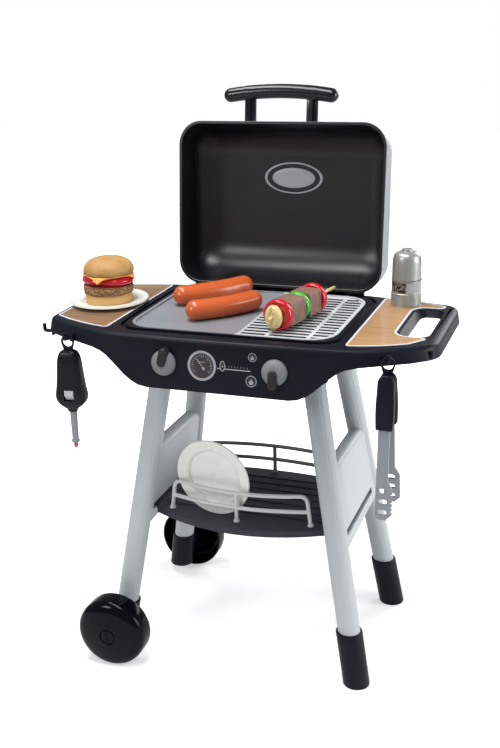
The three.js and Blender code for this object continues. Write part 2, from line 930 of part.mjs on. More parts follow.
place(grill, 'left_wood_panel', leftWood(), woodPrint);
place(grill, 'right_wood_panel', rightWood(), woodPrint);

// Cooking plate: a flat griddle on the left, a slotted grate on the right

function makeCookingPlate() {
  const pitch = (grateBack - grateFront) / grateRows;
  const slotWide = pitch * slotShare;
  const edges = [grateLeft, ...crossBarShares.map((share) => lerp(grateLeft, grateRight, share)), grateRight];
  const slots = [];
  for (let row = 0; row < grateRows; row++) {
    const y = grateFront + (row + 0.5) * pitch;
    const fromCorner = Math.max(plateFront + plateCorner - y, y - plateBack + plateCorner, 0);
    const inset = plateCorner - Math.sqrt(Math.max(plateCorner ** 2 - fromCorner ** 2, 0));
    for (let k = 0; k < edges.length - 1; k++) {
      const x0 = edges[k] + (k > 0 ? crossBar / 2 : 0);
      const x1 = k < edges.length - 2 ? edges[k + 1] - crossBar / 2 : edges[k + 1] - inset;
      if (x1 - x0 > slotWide) {
        slots.push(box(x0, x1, y - slotWide / 2, y + slotWide / 2, plateBottom - overrun, plateTop + overrun));
      }
    }
  }
  return cut(
    prism(plateRectangle(0), plateBottom, plateTop),
    prism(plateRectangle(-plateRimWidth), cookingTop, plateTop + overrun),
    prism(plateRectangle(-plateRimWidth), plateBottom - overrun, cookingTop - plateSkin),
    ...slots,
  );
}

const cookingPlate = pivot(grill, 0, 0, 0);
place(cookingPlate, 'cooking_plate', makeCookingPlate(), plateGrey);

// Lid, drawn closed about its hinge line, then turned open

const lid = pivot(grill, 0, pivotY, pivotZ);
lid.rotation.x = -radians(lidOpenDegrees);
const lidBody = pivot(lid, 0, -pivotY, -pivotZ);

// Height of the lid falls off towards its front
function lidDrop(y) {
  return lidFall * (lidBack - y) / (lidBack - lidFront);
}

// The dome, drawn inwards by a wall; its walls lean in and its crown rounds over
function lidDome(wall, rim) {
  const rings = [];
  const ringAt = (turn, height) => {
    const open = Math.cos(turn);
    const over = 1 - open;
    const inset = (crown, draft) => wall * open + draft * height + crown * over;
    const side = inset(sideCrown, sideDraft);
    const radius = lidCorner - crownCornerLoss * over - wall * open;
    const outline = rectangle(
      side - lidHalfWidth, lidHalfWidth - side,
      lidFront + inset(frontCrown, frontDraft), lidBack - inset(backCrown, sideDraft), radius, rimSteps,
    );
    const perCorner = outline.length / 4;
    return outline.map((p, i) => {
      const step = Math.floor(i / perCorner) * 90 + 180 + 90 * (i % perCorner) / (perCorner - 1);
      const sideways = Math.cos(radians(step)) ** 2;
      const ahead = i < 2 * perCorner ? frontCrown : backCrown;
      const crown = sideways * sideCrown + (1 - sideways) * ahead;
      const z = height > 0 ? lidHeight - crown * (1 - Math.sin(turn)) - wall * Math.sin(turn) : height;
      const fall = height > 0 ? lidDrop(p.y) * z / lidHeight : 0;
      return new Vec3(p.x, p.y, lidRim + z - fall);
    });
  };
  rings.push(ringAt(0, rim));
  for (let k = 0; k <= crownSteps; k++) {
    const turn = Math.PI / 2 * k / crownSteps;
    rings.push(ringAt(turn, lidHeight - sideCrown * (1 - Math.sin(turn))));
  }
  return loft(rings);
}

function makeShell() {
  const low = flangeThick + seatGap;
  const notchReach = earWidth / 2 + 2 * seatGap + lugWidth;
  const notchTop = pivotZ + hingeRadius + 2 * seatGap;
  const notches = [-1, 1].map((side) => box(
    side * hingeX - notchReach, side * hingeX + notchReach,
    lidBack - shellWall - seatGap / 2 - sideDraft * lidCorner, pivotY + overrun, lidRim, notchTop,
  ));
  const far = deckRight * 2;
  const below = box(-far, far, -far, far, lidRim - 2 * overrun, lidRim + low);
  return cut(lidDome(0, -overrun), lidDome(shellWall, -2 * overrun), below, ...notches);
}

function makeLiner() {
  const skin = shellWall + seatGap;
  const far = deckRight * 2;
  const below = box(-far, far, -far, far, lidRim - 2 * overrun, lidRim);
  const ears = [-1, 1].map((side) => {
    const root = lidBack - skin - linerWall / 2;
    const low = pivotZ - hingeRadius;
    const high = pivotZ + hingeRadius;
    const outline = hingeOutline([new Vec2(root, high), new Vec2(root, low)], [new Vec2(pivotY, low)]);
    return prismX(outline, side * hingeX - earWidth / 2, side * hingeX + earWidth / 2);
  });
  const dome = cut(lidDome(skin, -overrun), below);
  const flange = prism(rimRectangle(0), lidRim, lidRim + flangeThick);
  return cut(
    join(dome, flange, ...ears), lidDome(skin + linerWall, -2 * overrun), ...[-1, 1].map((side) => hingeBore(side)),
  );
}

function gripCurve() {
  const end = new Vec3(gripMiddle + gripHalfLength, gripY + gripArch / 2, gripZ);
  const start = new Vec3(gripMiddle - gripHalfLength, end.y, end.z);
  return new THREE.QuadraticBezierCurve3(start, new Vec3(gripMiddle, end.y - 2 * gripArch, end.z), end);
}

function makePost(side) {
  const x = gripMiddle + side * postX;
  const at = (side * postX / gripHalfLength + 1) / 2;
  const centre = gripCurve().getPoint(at);
  const collarRadius = gripRadius + seatGap + collarWall;
  const half = new Vec3(postWidth / 2, 0, 0);
  const collar = rod(centre.clone().sub(half), centre.clone().add(half), collarRadius, mediumSides);
  const web = box(x - postWidth / 2, x + postWidth / 2, centre.y, lidFront + lidCorner,
    gripZ - postThick / 2, gripZ + postThick / 2);
  const rib = box(x - postRibWidth / 2, x + postRibWidth / 2, centre.y, lidFront + lidCorner,
    gripZ - postRibHeight / 2, gripZ + postRibHeight / 2);
  const room = roundBar(gripCurve(), gripRadius + seatGap, mediumSides, 8);
  return cut(join(collar, web, rib), room, lidDome(-seatGap, -overrun));
}

function makeBadge() {
  const a = badgeLength / 2;
  const b = badgeHeight / 2;
  const plate = prism(ellipse(a, b), -badgeThick, 0);
  const ring = cut(
    prism(ellipse(a, b), -badgeThick - badgeRelief, -badgeThick / 2),
    prism(ellipse(a - badgeRing, b - badgeRing), -badgeThick - overrun, 0),
  );
  const centre = prism(ellipse(a * badgeCentreShare, b * badgeCentreShare * badgeCentreShare),
    -badgeThick - badgeRelief, -badgeThick / 2);
  return join(plate, ring, centre);
}

place(lidBody, 'lid_shell', makeShell(), shellGrey);
place(lidBody, 'lid_liner', makeLiner(), blackPlastic);
place(lidBody, 'lid_handle_grip', roundBar(gripCurve(), gripRadius, mediumSides, 8), glossBlack);
place(lidBody, 'lid_handle_post_left', makePost(-1), glossBlack);
place(lidBody, 'lid_handle_post_right', makePost(1), glossBlack);

const badgeY = pivotY - badgeFromPivot;
const crownInside = lidHeight - shellWall - seatGap - linerWall;
const crownSlope = lidFall * crownInside / lidHeight / (lidBack - lidFront);
const badgeZ = lidRim + crownInside - crownSlope * (lidBack - badgeY) - seatGap;
const badgeSeat = pivot(lidBody, badgeX, badgeY, badgeZ);
badgeSeat.rotation.x = Math.atan(crownSlope);
place(badgeSeat, 'lid_badge', makeBadge(), plateGrey);

// Knobs: a domed skirt with a shaft, and a bar grip let into it

function knobGripOutline(room) {
  const half = knobGripWidth / 2 + room;
  const low = -knobGripInner - room;
  const high = knobGripOuter + room;
  return rounded([[-half, low, half / 2], [half, low, half / 2], [half, high, half / 2], [-half, high, half / 2]], 3);
}

function makeKnobSkirt() {
  const dome = revolve([
    [0, -knobShaftLength], [knobShaftRadius, -knobShaftLength], [knobShaftRadius, seatGap],
    [knobRadius, seatGap], [knobRadius, knobHeight * 0.25], [knobRadius * 0.9, knobHeight * 0.62],
    [knobRadius * 0.68, knobHeight * 0.88], [knobRadius * 0.35, knobHeight], [0, knobHeight],
  ], largeSides);
  return cut(dome, prism(knobGripOutline(seatGap), knobGripFloor, knobHeight + overrun));
}

for (const [side, name, turn] of [[-1, 'left_knob', leftKnobTurn], [1, 'right_knob', rightKnobTurn]]) {
  const panel = knobGroup(side);
  const knob = pivot(panel, 0, 0, 0);
  knob.rotation.z = radians(turn);
  place(knob, `${name}_skirt`, makeKnobSkirt(), knobGrey);
  const gripSolid = prism(knobGripOutline(0), knobGripFloor + seatGap, knobGripTop, knobGripWidth / 6);
  place(knob, `${name}_grip`, gripSolid, blackPlastic);
}

// Side frames: two legs and the gusset between them, moulded in one

const legLean = Math.atan(legSlope);

function makeGusset(side) {
  const up = (z) => (z - legRefHeight) / Math.cos(legLean);
  const frontAt = (z) => legPoint(side, 'front', z).y;
  const backAt = (z) => legPoint(side, 'back', z).y;
  const outline = rounded([
    [frontAt(gussetTop), up(gussetTop)],
    [frontAt(gussetBottom), up(gussetBottom)],
    [backAt(gussetBottom) + gussetOverlap, up(gussetBottom), gussetCorner],
    [backAt(gussetTop) + gussetOverlap, up(gussetTop), gussetCorner],
  ]);
  const plate = prismX(outline, -gussetThick / 2, gussetThick / 2, gussetBevel);
  return plate.rotateY(-side * legLean).translate(side * legRefX, 0, legRefHeight);
}

function legLow(side) {
  return sleeveFloor + seatGap + (side < 0 ? leftLegLift : 0);
}

// The wheel's axle line, out of the front or the back of a left leg
function axleRod(end, from, to, radius, sides = mediumSides) {
  const [inner, outer] = [legPoint(-1, end, wheelRadius).y, end === 'front' ? wheelFrontFace : wheelBackFace];
  const outward = Math.sign(outer - inner);
  const start = from === 'leg' ? inner : outer + outward * from;
  const line = [new Vec3(wheelX, start, wheelRadius), new Vec3(wheelX, outer + outward * to, wheelRadius)];
  return rod(line[0], line[1], radius, sides);
}

const tabTop = shelfTop - shelfDeep + tabThick + seatGap;
const tabBottom = shelfTop - shelfDeep;

function makeSideFrame(side) {
  const legs = ['front', 'back'].map((end) => legRod(side, end, legLow(side), legTopHeight, legRadius));
  const slot = box(
    side * legRefX - legRefX, side * legRefX + legRefX,
    tabFront - seatGap, tabBack + seatGap, tabBottom - seatGap, tabTop + seatGap,
  );
  const tools = [slot];
  if (side < 0) {
    tools.push(...['front', 'back'].map((end) => axleRod(end, 'leg', overrun, axleRadius + seatGap)));
  }
  return cut(join(...legs, makeGusset(side)), ...tools);
}

place(grill, 'left_side_frame', makeSideFrame(-1), greyPlastic);
place(grill, 'right_side_frame', makeSideFrame(1), greyPlastic);

// Leg ends: sleeves over the legs, standing on the right and carrying the axles on the left

function makeFoot(side, end) {
  const low = legLow(side) - sleeveFloor - seatGap;
  const axis = legPoint(side, end, sleeveTop);
  const far = deckRight * 2;
  const sleeve = common(
    rod(legPoint(side, end, low - legRadius), axis, legRadius + seatGap + sleeveWall, legSides),
    box(-far, far, -far, far, low, 2 * sleeveTop),
  );
  const bore = legRod(side, end, low + sleeveFloor, sleeveTop + legRadius, legRadius + seatGap);
  if (side > 0) {
    return cut(sleeve, bore);
  }
  return cut(
    join(sleeve, axleRod(end, 'leg', -seatGap, axleBossRadius)), bore,
    axleRod(end, 'leg', overrun, axleRadius + seatGap),
  );
}

for (const { side, end } of corners) {
  place(grill, `${end}_${side < 0 ? 'left' : 'right'}_foot`, makeFoot(side, end), blackPlastic);
}

// Wheels: domed outside, open towards the leg, with a hub round the axle

function makeWheel() {
  const inner = wheelRadius - wheelWall;
  const bore = axleRadius + seatGap;
  const hub = bore + hubWall;
  const face = wheelWidth - wheelDishDrop;
  return revolve([
    [wheelRadius, 0], [wheelRadius, wheelTread], [wheelRadius * 0.965, wheelTread * 1.28],
    [wheelRadius * 0.88, wheelTread * 1.5], [wheelRadius * 0.62, wheelWidth * 0.945],
    [axleHeadRadius + 4 * seatGap, wheelWidth], [axleHeadRadius + 4 * seatGap, face], [bore, face],
    [bore, 2 * seatGap], [hub, 2 * seatGap], [hub, face - 1.3 * wheelWall],
    [wheelRadius * 0.6, wheelWidth * 0.945 - wheelWall], [wheelRadius * 0.86, wheelTread * 1.3],
    [inner, wheelTread], [inner, 0], [wheelRadius, 0],
  ], largeSides);
}

function makeAxle(end) {
  const face = wheelWidth - wheelDishDrop + seatGap;
  const outward = end === 'front' ? -1 : 1;
  const faceY = (end === 'front' ? wheelFrontFace : wheelBackFace) + outward * (face + axleHeadThick);
  const slot = box(
    wheelX - axleSlotWidth / 2, wheelX + axleSlotWidth / 2, faceY - axleSlotDepth, faceY + axleSlotDepth,
    wheelRadius - axleSlotLength / 2, wheelRadius + axleSlotLength / 2,
  );
  const shank = axleRod(end, 'leg', face + axleHeadThick / 2, axleRadius);
  return cut(join(shank, axleRod(end, face, face + axleHeadThick, axleHeadRadius)), slot);
}

for (const [end, y, turn] of [['front', wheelFrontFace, 90], ['back', wheelBackFace, -90]]) {
  place(grill, `${end}_axle_pin`, makeAxle(end), glossBlack);
  const hub = pivot(grill, wheelX, y, wheelRadius);
  const wheel = makeWheel().rotateX(radians(turn));
  place(hub, `${end}_wheel`, wheel, glossBlack);
}

// Shelf: a tray with a lip, ribs on top, and a tab through each gusset

function shelfOutline(inset) {
  const bulge = (end, middle) => (x) => middle + (end - middle) * (x / shelfHalfWidth) ** 2;
  const front = bulge(shelfFrontEnd, shelfFrontMid);
  const back = bulge(shelfBackEnd, shelfBackMid);
  const w = shelfHalfWidth;
  return grown(rounded([
    [-w, shelfFrontEnd], ...between(-w, w, 10, front),
    [w, shelfFrontEnd], [w, shelfBackEnd],
    ...between(w, -w, 8, back), [-w, shelfBackEnd],
  ]), -inset);
}

function makeShelf() {
  const low = shelfTop - shelfDeep;
  const ribs = Array.from({ length: shelfRibs }, (_, i) => {
    const y = lerp(shelfRibFront, shelfRibBack, i / (shelfRibs - 1));
    return box(shelfRibEnd - shelfHalfWidth, shelfHalfWidth - shelfRibEnd, y - shelfRibWidth / 2,
      y + shelfRibWidth / 2, shelfTop - shelfWall / 2, shelfTop + shelfRibHeight);
  });
  const gussetFace = (side) => side * (legRefX + legSlope * (legRefHeight - tabBottom) + gussetThick / 2 - tabDeep);
  const tabs = [-1, 1].map((side) => {
    const x = [side * (shelfHalfWidth - shelfWall), gussetFace(side)].sort((a, b) => a - b);
    return box(x[0], x[1], tabFront, tabBack, low, low + tabThick);
  });
  const tray = cut(
    prism(shelfOutline(0), low, shelfTop),
    prism(shelfOutline(shelfWall), low - overrun, shelfTop - shelfWall),
  );
  return join(tray, ...ribs, ...tabs);
}

place(grill, 'shelf', makeShelf(), blackPlastic);

function makeRail(endY, midY) {
  const foot = shelfTop + seatGap;
  const bar = foot + railHeight;
  const bentX = railEndX - railBend;
  const path = new THREE.CurvePath();
  const corner = (x, y, z) => new Vec3(x, y, z);
  const control = corner(0, 2 * midY - endY, bar);
  path.add(new THREE.LineCurve3(corner(-railEndX, endY, foot), corner(-railEndX, endY, bar - railBend)));
  path.add(new THREE.QuadraticBezierCurve3(
    corner(-railEndX, endY, bar - railBend), corner(-railEndX, endY, bar), corner(-bentX, endY, bar),
  ));
  path.add(new THREE.QuadraticBezierCurve3(corner(-bentX, endY, bar), control, corner(bentX, endY, bar)));
  path.add(new THREE.QuadraticBezierCurve3(
    corner(bentX, endY, bar), corner(railEndX, endY, bar), corner(railEndX, endY, bar - railBend),
  ));
  path.add(new THREE.LineCurve3(corner(railEndX, endY, bar - railBend), corner(railEndX, endY, foot)));
  const lowZ = foot + railHeight * railLowShare;
  const low = new THREE.CurvePath();
  low.add(new THREE.QuadraticBezierCurve3(
    corner(-railEndX, endY, lowZ), corner(0, 2 * midY - endY, lowZ), corner(railEndX, endY, lowZ),
  ));
  const post = rod(corner(0, midY, foot), corner(0, midY, bar), railRadius, smallSides);
  const feet = [[-railEndX, endY], [0, midY], [railEndX, endY]].map(([x, y]) => rod(
    corner(x, y, foot), corner(x, y, foot + railFootHeight), railFootRadius, smallSides,
  ));
  return join(tube(path, railRadius, smallSides, 4), tube(low, railRadius, smallSides, 5), post, ...feet);
}

place(grill, 'front_rail', makeRail(railFrontEnd, railFrontMid), greyPlastic);
place(grill, 'back_rail', makeRail(railBackEnd, railBackMid), greyPlastic);

// Hooks stand out of the deck's wall, square to it

function wallNear(x, y, z) {
  const loop = grown(deckOutline, flareAt(z));
  const target = new Vec2(x, y);
  let best = null;
  loop.forEach((from, i) => {
    const to = loop[(i + 1) % loop.length];
    const along = to.clone().sub(from);
    const share = THREE.MathUtils.clamp(target.clone().sub(from).dot(along) / along.lengthSq(), 0, 1);
    const point = from.clone().addScaledVector(along, share);
    const distance = point.distanceTo(target);
    if (best === null || distance < best.distance) {
      best = { point, distance, outward: new Vec2(along.y, -along.x).normalize() };
    }
  });
  return best;
}

function makeHook() {
  const face = -seatGap - hookPlateHeight / 2 * deckFlare / (beltHeight - panelBottom);
  const back = face - hookPlateThick / 2;
  const path = new THREE.CurvePath();
  const turnIn = new Vec3(0, hookBend - hookReach, 0);
  const turnOut = new Vec3(0, -hookReach, hookBend);
  path.add(new THREE.LineCurve3(new Vec3(0, back, 0), turnIn));
  path.add(new THREE.QuadraticBezierCurve3(turnIn, new Vec3(0, -hookReach, 0), turnOut));
  path.add(new THREE.LineCurve3(turnOut, new Vec3(0, -hookReach, hookRise)));
  const plate = box(-hookPlateWidth / 2, hookPlateWidth / 2, face - hookPlateThick, face,
    -hookPlateHeight / 2, hookPlateHeight / 2);
  return join(tube(path, hookRadius, smallSides), plate);
}

const hookAboveRing = ringInner - hookRadius - seatGap;
const hooks = {
  hook_left_end: [-deckLeft, endHookY, deckTop - endHookDrop],
  hook_left_front: [lighterX, frontEdge(lighterX), lighterRingHeight + hookAboveRing],
  hook_right_front: [tongsX, frontEdge(tongsX), tongsRingHeight + hookAboveRing],
  hook_right_corner: [deckRight, frontEdge(deckRight), tongsRingHeight],
};
const hangers = {};
for (const [name, [x, y, z]] of Object.entries(hooks)) {
  const { point, outward } = wallNear(x, y, z);
  const seat = pivot(grill, point.x, point.y, z);
  seat.rotation.z = Math.atan2(outward.y, outward.x) + Math.PI / 2;
  place(seat, name, makeHook(), blackPlastic);
  hangers[name] = point.clone().addScaledVector(outward, ringOut);
}

// A flat ring about Y
function ring() {
  const half = ringThick / 2;
  return revolve([
    [ringInner, -half], [ringOuter, -half], [ringOuter, half], [ringInner, half], [ringInner, -half],
  ], mediumSides).rotateX(Math.PI / 2);
}

// Tongs: two sprung arms with slotted, toothed heads, and a grip cover on each

function gripOutline() {
  const half = tongsGripWidth / 2;
  return rounded([
    [-half, -tongsGripLength, tongsGripCorner / 3], [half, -tongsGripLength, tongsGripCorner / 3],
    [half, -tongsGripCorner, tongsGripCorner], [half / 2, 0, tongsGripCorner / 2],
    [-half / 2, 0, tongsGripCorner / 2], [-half, -tongsGripCorner, tongsGripCorner],
  ], 3);
}

function armOutline() {
  const half = tongsArmWidth / 2;
  const right = tongsHeadWidth - half;
  const headTop = tongsHeadLength - tongsLength;
  const pitch = (tongsHeadLength - tongsArmWidth) / tongsTeeth;
  const teeth = [];
  for (let k = 0; k < tongsTeeth; k++) {
    const z = half - tongsLength + k * pitch;
    teeth.push([right, z], [right, z + pitch / 2], [right - tongsToothDepth, z + 0.6 * pitch],
      [right - tongsToothDepth, z + pitch * 0.9]);
  }
  return rounded([
    [-half, -tongsLength, half], [right - half, -tongsLength],
    ...teeth,
    [right, headTop - half], [half, headTop + half / 2, half / 2],
    [half, -tongsArmInset], [-half, -tongsArmInset],
  ], 3);
}

function makeArm(y0) {
  const y1 = y0 + tongsArmThick;
  const left = -tongsArmWidth / 2;
  const middle = left + (tongsHeadWidth - tongsToothDepth) / 2;
  const slots = Array.from({ length: tongsSlots }, (_, i) => {
    const z = -tongsLength + tongsHeadLength * (i + 0.7) / (tongsSlots + 0.4);
    return prismY(rectangle(
      middle - tongsSlotWidth / 2, middle + tongsSlotWidth / 2,
      z - tongsSlotHeight / 2, z + tongsSlotHeight / 2, tongsSlotHeight * 0.45, 2,
    ), y0 - overrun, y1 + overrun);
  });
  return cut(prismY(armOutline(), y0, y1), ...slots);
}

function makeTongsGrip(y0, armY) {
  const half = tongsArmWidth / 2 + seatGap;
  const pocket = box(-half, half, armY - seatGap, armY + tongsArmThick + seatGap,
    -tongsGripLength - overrun, seatGap - tongsArmInset);
  return cut(prismY(gripOutline(), y0, y0 + tongsGripThick, tongsGripThick / 6), pocket);
}

const tongsSeat = hangers.hook_right_front;
const tongs = pivot(grill, tongsSeat.x, tongsSeat.y, tongsRingHeight - tongsDrop);
const tongsFront = pivot(tongs, 0, 0, 0);
const tongsBack = pivot(tongs, 0, 0, 0);
tongsFront.rotation.x = -radians(tongsFrontTilt);
tongsBack.rotation.x = radians(tongsBackTilt);
const armSeat = (tongsGripThick - tongsArmThick) / 2;
const frontFace = -seatGap / 2 - tongsGripThick;
place(tongsFront, 'tongs_front_arm', makeArm(frontFace + armSeat), shellGrey);
place(tongsBack, 'tongs_back_arm', makeArm(seatGap / 2 + armSeat), shellGrey);
const neck = box(-ringInner / 2, ringInner / 2, -tongsGripThick / 2 - ringThick / 2, -seatGap / 2,
  -tongsGripCorner / 2, tongsDrop - (ringInner + ringOuter) / 2);
const hangRing = ring().translate(0, 0, tongsDrop).applyMatrix4(
  new THREE.Matrix4().makeRotationX(radians(tongsFrontTilt)),
);
place(tongsFront, 'tongs_front_grip', join(makeTongsGrip(frontFace, frontFace + armSeat), neck, hangRing), blackPlastic);
place(tongsBack, 'tongs_back_grip', makeTongsGrip(seatGap / 2, seatGap / 2 + armSeat), blackPlastic);

// Lighter: a full body with a thumb trigger, a barrel and a red tip

function lighterBody() {
  const stations = [
    [0, 0.42, 0.45], [0.06, 0.62, 0.7], [0.2, 0.78, 0.85], [0.5, 0.9, 0.95], [0.73, 1, 1],
    [0.84, 0.9, 0.92], [0.93, 0.64, 0.72], [1, 0.4, 0.55],
  ];
  const stationShares = stations.slice().reverse();
  return loft(stationShares.map(([down, wide, deep]) => {
    const a = lighterHalfWidth * wide;
    const b = lighterHalfDepth * deep;
    return atHeight(rectangle(-a, a, -b, b, b * 0.7, 3), -lighterDrop - down * lighterLength);
  }));
}

const windowTop = -lighterDrop - windowDrop;
const windowFront = -lighterHalfDepth - seatGap;
const barrelTop = -lighterDrop - lighterLength;

function makeLighterBody() {
  const window = box(-windowWidth / 2, windowWidth / 2, windowFront - overrun, windowFront + windowDepth,
    windowTop - windowHeight, windowTop);
  const bore = rod(new Vec3(0, 0, barrelTop - overrun), new Vec3(0, 0, barrelTop + barrelSeat + seatGap),
    barrelRadius + seatGap);
  const link = box(-ringInner / 2, ringInner / 2, -ringThick / 2, ringThick / 2,
    -lighterDrop - ringInner / 2, -(ringInner + ringOuter) / 2);
  return cut(join(lighterBody(), ring(), link), window, bore);
}

function makeTrigger() {
  const half = windowWidth / 2 - seatGap;
  const top = windowTop - seatGap;
  const low = windowTop - windowHeight + seatGap;
  const middle = (top + low) / 2;
  const front = windowFront + 2 * seatGap;
  const outline = [[front, middle], [front, top], [front + triggerDepth, top], [front + triggerDepth, low],
    [front + triggerStep, low]];
  return prismX(outline.map(([y, z]) => new Vec2(y, z)).reverse(), -half, half);
}

function makeBarrel() {
  const low = barrelTop - barrelLength;
  const top = barrelTop + barrelSeat;
  const bore = tipRadius * 0.6 + seatGap;
  return revolve([
    [0, low + tipSeat], [bore, low + tipSeat], [bore, low], [barrelCollar * 0.8, low],
    [barrelCollar, low + barrelCollarHeight / 3], [barrelCollar, low + barrelCollarHeight],
    [barrelRadius * 0.9, low + 1.4 * barrelCollarHeight], [barrelRadius, top], [0, top],
  ], mediumSides);
}

function makeTip() {
  const seat = barrelTop - barrelLength - seatGap;
  return revolve([
    [0, seat - tipLength], [tipRadius * 0.5, seat - tipLength * 0.93], [tipRadius, seat - tipLength * 0.6],
    [tipRadius, seat], [tipRadius * 0.6, seat], [tipRadius * 0.6, seat + tipSeat], [0, seat + tipSeat],
  ], pinSides);
}

const lighterSeat = hangers.hook_left_front;
const lighter = pivot(grill, lighterSeat.x, lighterSeat.y, lighterRingHeight);
lighter.rotation.z = radians(lighterTurn);
place(lighter, 'lighter_body', makeLighterBody(), blackPlastic);
place(lighter, 'lighter_trigger', makeTrigger(), greyPlastic);
place(lighter, 'lighter_barrel', makeBarrel(), plateGrey);
place(lighter, 'lighter_tip', makeTip(), redPlastic);

// Spice mill: a body with a label band, and a cap that turns on its spigot

function makeMillBody() {
  return revolve([
    [0, 0], [millRadius * 0.95, 0], [millRadius, millHeight * 0.02], [millRadius * 0.985, millHeight * 0.23],
    [millRadius * 0.95, millHeight * 0.25], [millRadius * 0.95, millSplit - millHeight * 0.02],
    [millRadius * 0.955, millSplit], [millWaist / 2, millSplit], [millWaist / 2, millSplit + millSpigot],
    [0, millSplit + millSpigot],
  ]);
}

function makeMillCap() {
  const low = millSplit + seatGap;
  const bore = millWaist / 2 + seatGap;
  const high = millHeight - millKnobHeight;
  return revolve([
    [0, low + millSpigot + seatGap], [bore, low + millSpigot + seatGap], [bore, low], [millRadius * 0.95, low],
    [millWaist, high * 0.86], [millWaist * 0.94, high * 0.93], [millWaist * 0.75, high * 0.985],
    [millKnobRadius * 1.1, high], [millKnobRadius, high + millKnobHeight * 0.2],
    [millKnobRadius, millHeight * 0.985], [millKnobRadius * 0.8, millHeight], [0, millHeight],
  ]);
}

const mill = pivot(grill, millX, millY, woodTop + seatGap);
place(mill, 'mill_body', makeMillBody(), millSilver);
place(mill, 'mill_cap', makeMillCap(), millSilver);

// Plates: a flat well and a broad rim that rises to its edge

function makeDish(radius) {
  const well = radius - dishRimWidth;
  const lip = dishRimRise + dishWall;
  return revolve([
    [0, 0], [well * 0.95, 0], [well * 1.04, dishRimRise * 0.5], [radius * 0.985, dishRimRise],
    [radius, dishRimRise + dishWall / 2], [radius * 0.985, lip], [well * 1.06, dishRimRise * 0.5 + dishWall],
    [well * 0.96, dishWall], [0, dishWall],
  ]);
}

const burgerPlate = pivot(grill, burgerPlateX, burgerPlateY, woodTop + seatGap);
place(burgerPlate, 'burger_plate', makeDish(burgerPlateRadius), whitePlastic);

const railBow = (railFrontEnd - railFrontMid) / (railEndX - railBend) ** 2;
const railFace = railFrontMid + railBow * (shelfPlateX ** 2 + shelfPlateRadius ** 2) + railRadius + seatGap;
const plateLean = radians(shelfPlateLean);
const shelfPlate = pivot(grill, shelfPlateX, railFace + railHeight * Math.tan(plateLean), shelfTop + 2 * seatGap);
shelfPlate.rotation.set(plateLean, 0, Math.atan(2 * railBow * shelfPlateX), 'ZYX');
const standing = makeDish(shelfPlateRadius).translate(0, 0, -dishRimRise - dishWall).rotateX(Math.PI / 2);
place(shelfPlate, 'shelf_plate', standing.translate(0, 0, shelfPlateRadius), whitePlastic);

// Burger: each layer lies on the one below

function layer(radius, height, shares) {
  return revolve(shares.map(([r, z]) => [radius * r, height * z]));
}

const bottomBunShares = [[0, 0], [0.86, 0], [0.97, 0.3], [1, 0.7], [0.95, 1], [0, 1]];
const pattyShares = [[0, 0], [0.93, 0], [1, 0.22], [1, 0.78], [0.94, 1], [0, 1]];
const sliceShares = [[0, 0], [0.93, 0], [1, 0.3], [1, 0.7], [0.93, 1], [0, 1]];
const topBunShares = [
  [0, 0], [0.9, 0], [0.985, 0.1], [1, 0.26], [0.95, 0.48], [0.83, 0.7], [0.62, 0.87], [0.33, 0.97], [0, 1],
];

function makeTomato() {
  return join(...tomatoDegrees.map((angle) => layer(tomatoRadius, tomatoHeight, sliceShares).translate(
    tomatoOffset * Math.cos(radians(angle)), tomatoOffset * Math.sin(radians(angle)), 0,
  )));
}

function makeCheese() {
  const slice = new THREE.BoxGeometry(cheeseSide, cheeseSide, cheeseThick, cheeseGrid, cheeseGrid, 1);
  slice.translate(0, 0, cheeseThick / 2).rotateZ(radians(cheeseDegrees));
  const points = slice.attributes.position;
  const fold = radians(cheeseFoldDegrees);
  for (let i = 0; i < points.count; i++) {
    const here = new Vec3().fromBufferAttribute(points, i);
    const reach = Math.hypot(here.x, here.y);
    const over = Math.max(reach - cheeseFold, 0);
    const share = reach > 0 ? (reach - over + over * Math.cos(fold)) / reach : 1;
    points.setXYZ(i, here.x * share, here.y * share, here.z - over * Math.sin(fold));
  }
  return slice;
}

const burgerLayers = [
  ['bottom_bun', layer(bunBottomRadius, bunBottomHeight, bottomBunShares), bunBottomHeight, bunTan],
  ['patty', layer(pattyRadius, pattyHeight, pattyShares), pattyHeight, meatBrown],
  ['tomato', makeTomato(), tomatoHeight, redPlastic],
  ['cheese', makeCheese(), cheeseThick, cheeseYellow],
  ['top_bun', layer(bunRadius, bunTopHeight, topBunShares), bunTopHeight, bunTan],
];
let stackTop = woodTop + seatGap + dishWall;
for (const [name, geometry, height, material] of burgerLayers) {
  const seat = pivot(grill, burgerPlateX, burgerPlateY, stackTop + seatGap);
  place(seat, name, geometry, material);
  stackTop += seatGap + height;
}

// Sausages lie on the griddle, each a little bent

for (const [name, [[x0, y0], [x1, y1]]] of Object.entries(sausageEnds)) {
  const z = cookingTop + seatGap + sausageRadius;
  const start = new Vec3(x0, y0, z);
  const end = new Vec3(x1, y1, z);
  const middle = start.clone().add(end).multiplyScalar(0.5);
  const across = new Vec3(y1 - y0, x0 - x1, 0).setLength(2 * sausageBend);
  const curve = new THREE.QuadraticBezierCurve3(start, middle.add(across), end);
  place(cookingPlate, name, roundBar(curve, sausageRadius, mediumSides, 7), sausageOrange);
}

// Skewer: pieces threaded on a stick, drawn along X and turned into place

const skewerLength = Math.hypot(skewerTo[0] - skewerFrom[0], skewerTo[1] - skewerFrom[1]);
const skewer = pivot(cookingPlate, skewerFrom[0], skewerFrom[1], cookingTop + seatGap + pepperRadius);
skewer.rotation.z = Math.atan2(skewerTo[1] - skewerFrom[1], skewerTo[0] - skewerFrom[0]);

function threaded(geometry, length) {
  const hole = rod(new Vec3(-overrun, 0, 0), new Vec3(length + overrun, 0, 0), stickRadius + seatGap, smallSides);
  return cut(geometry, hole);
}

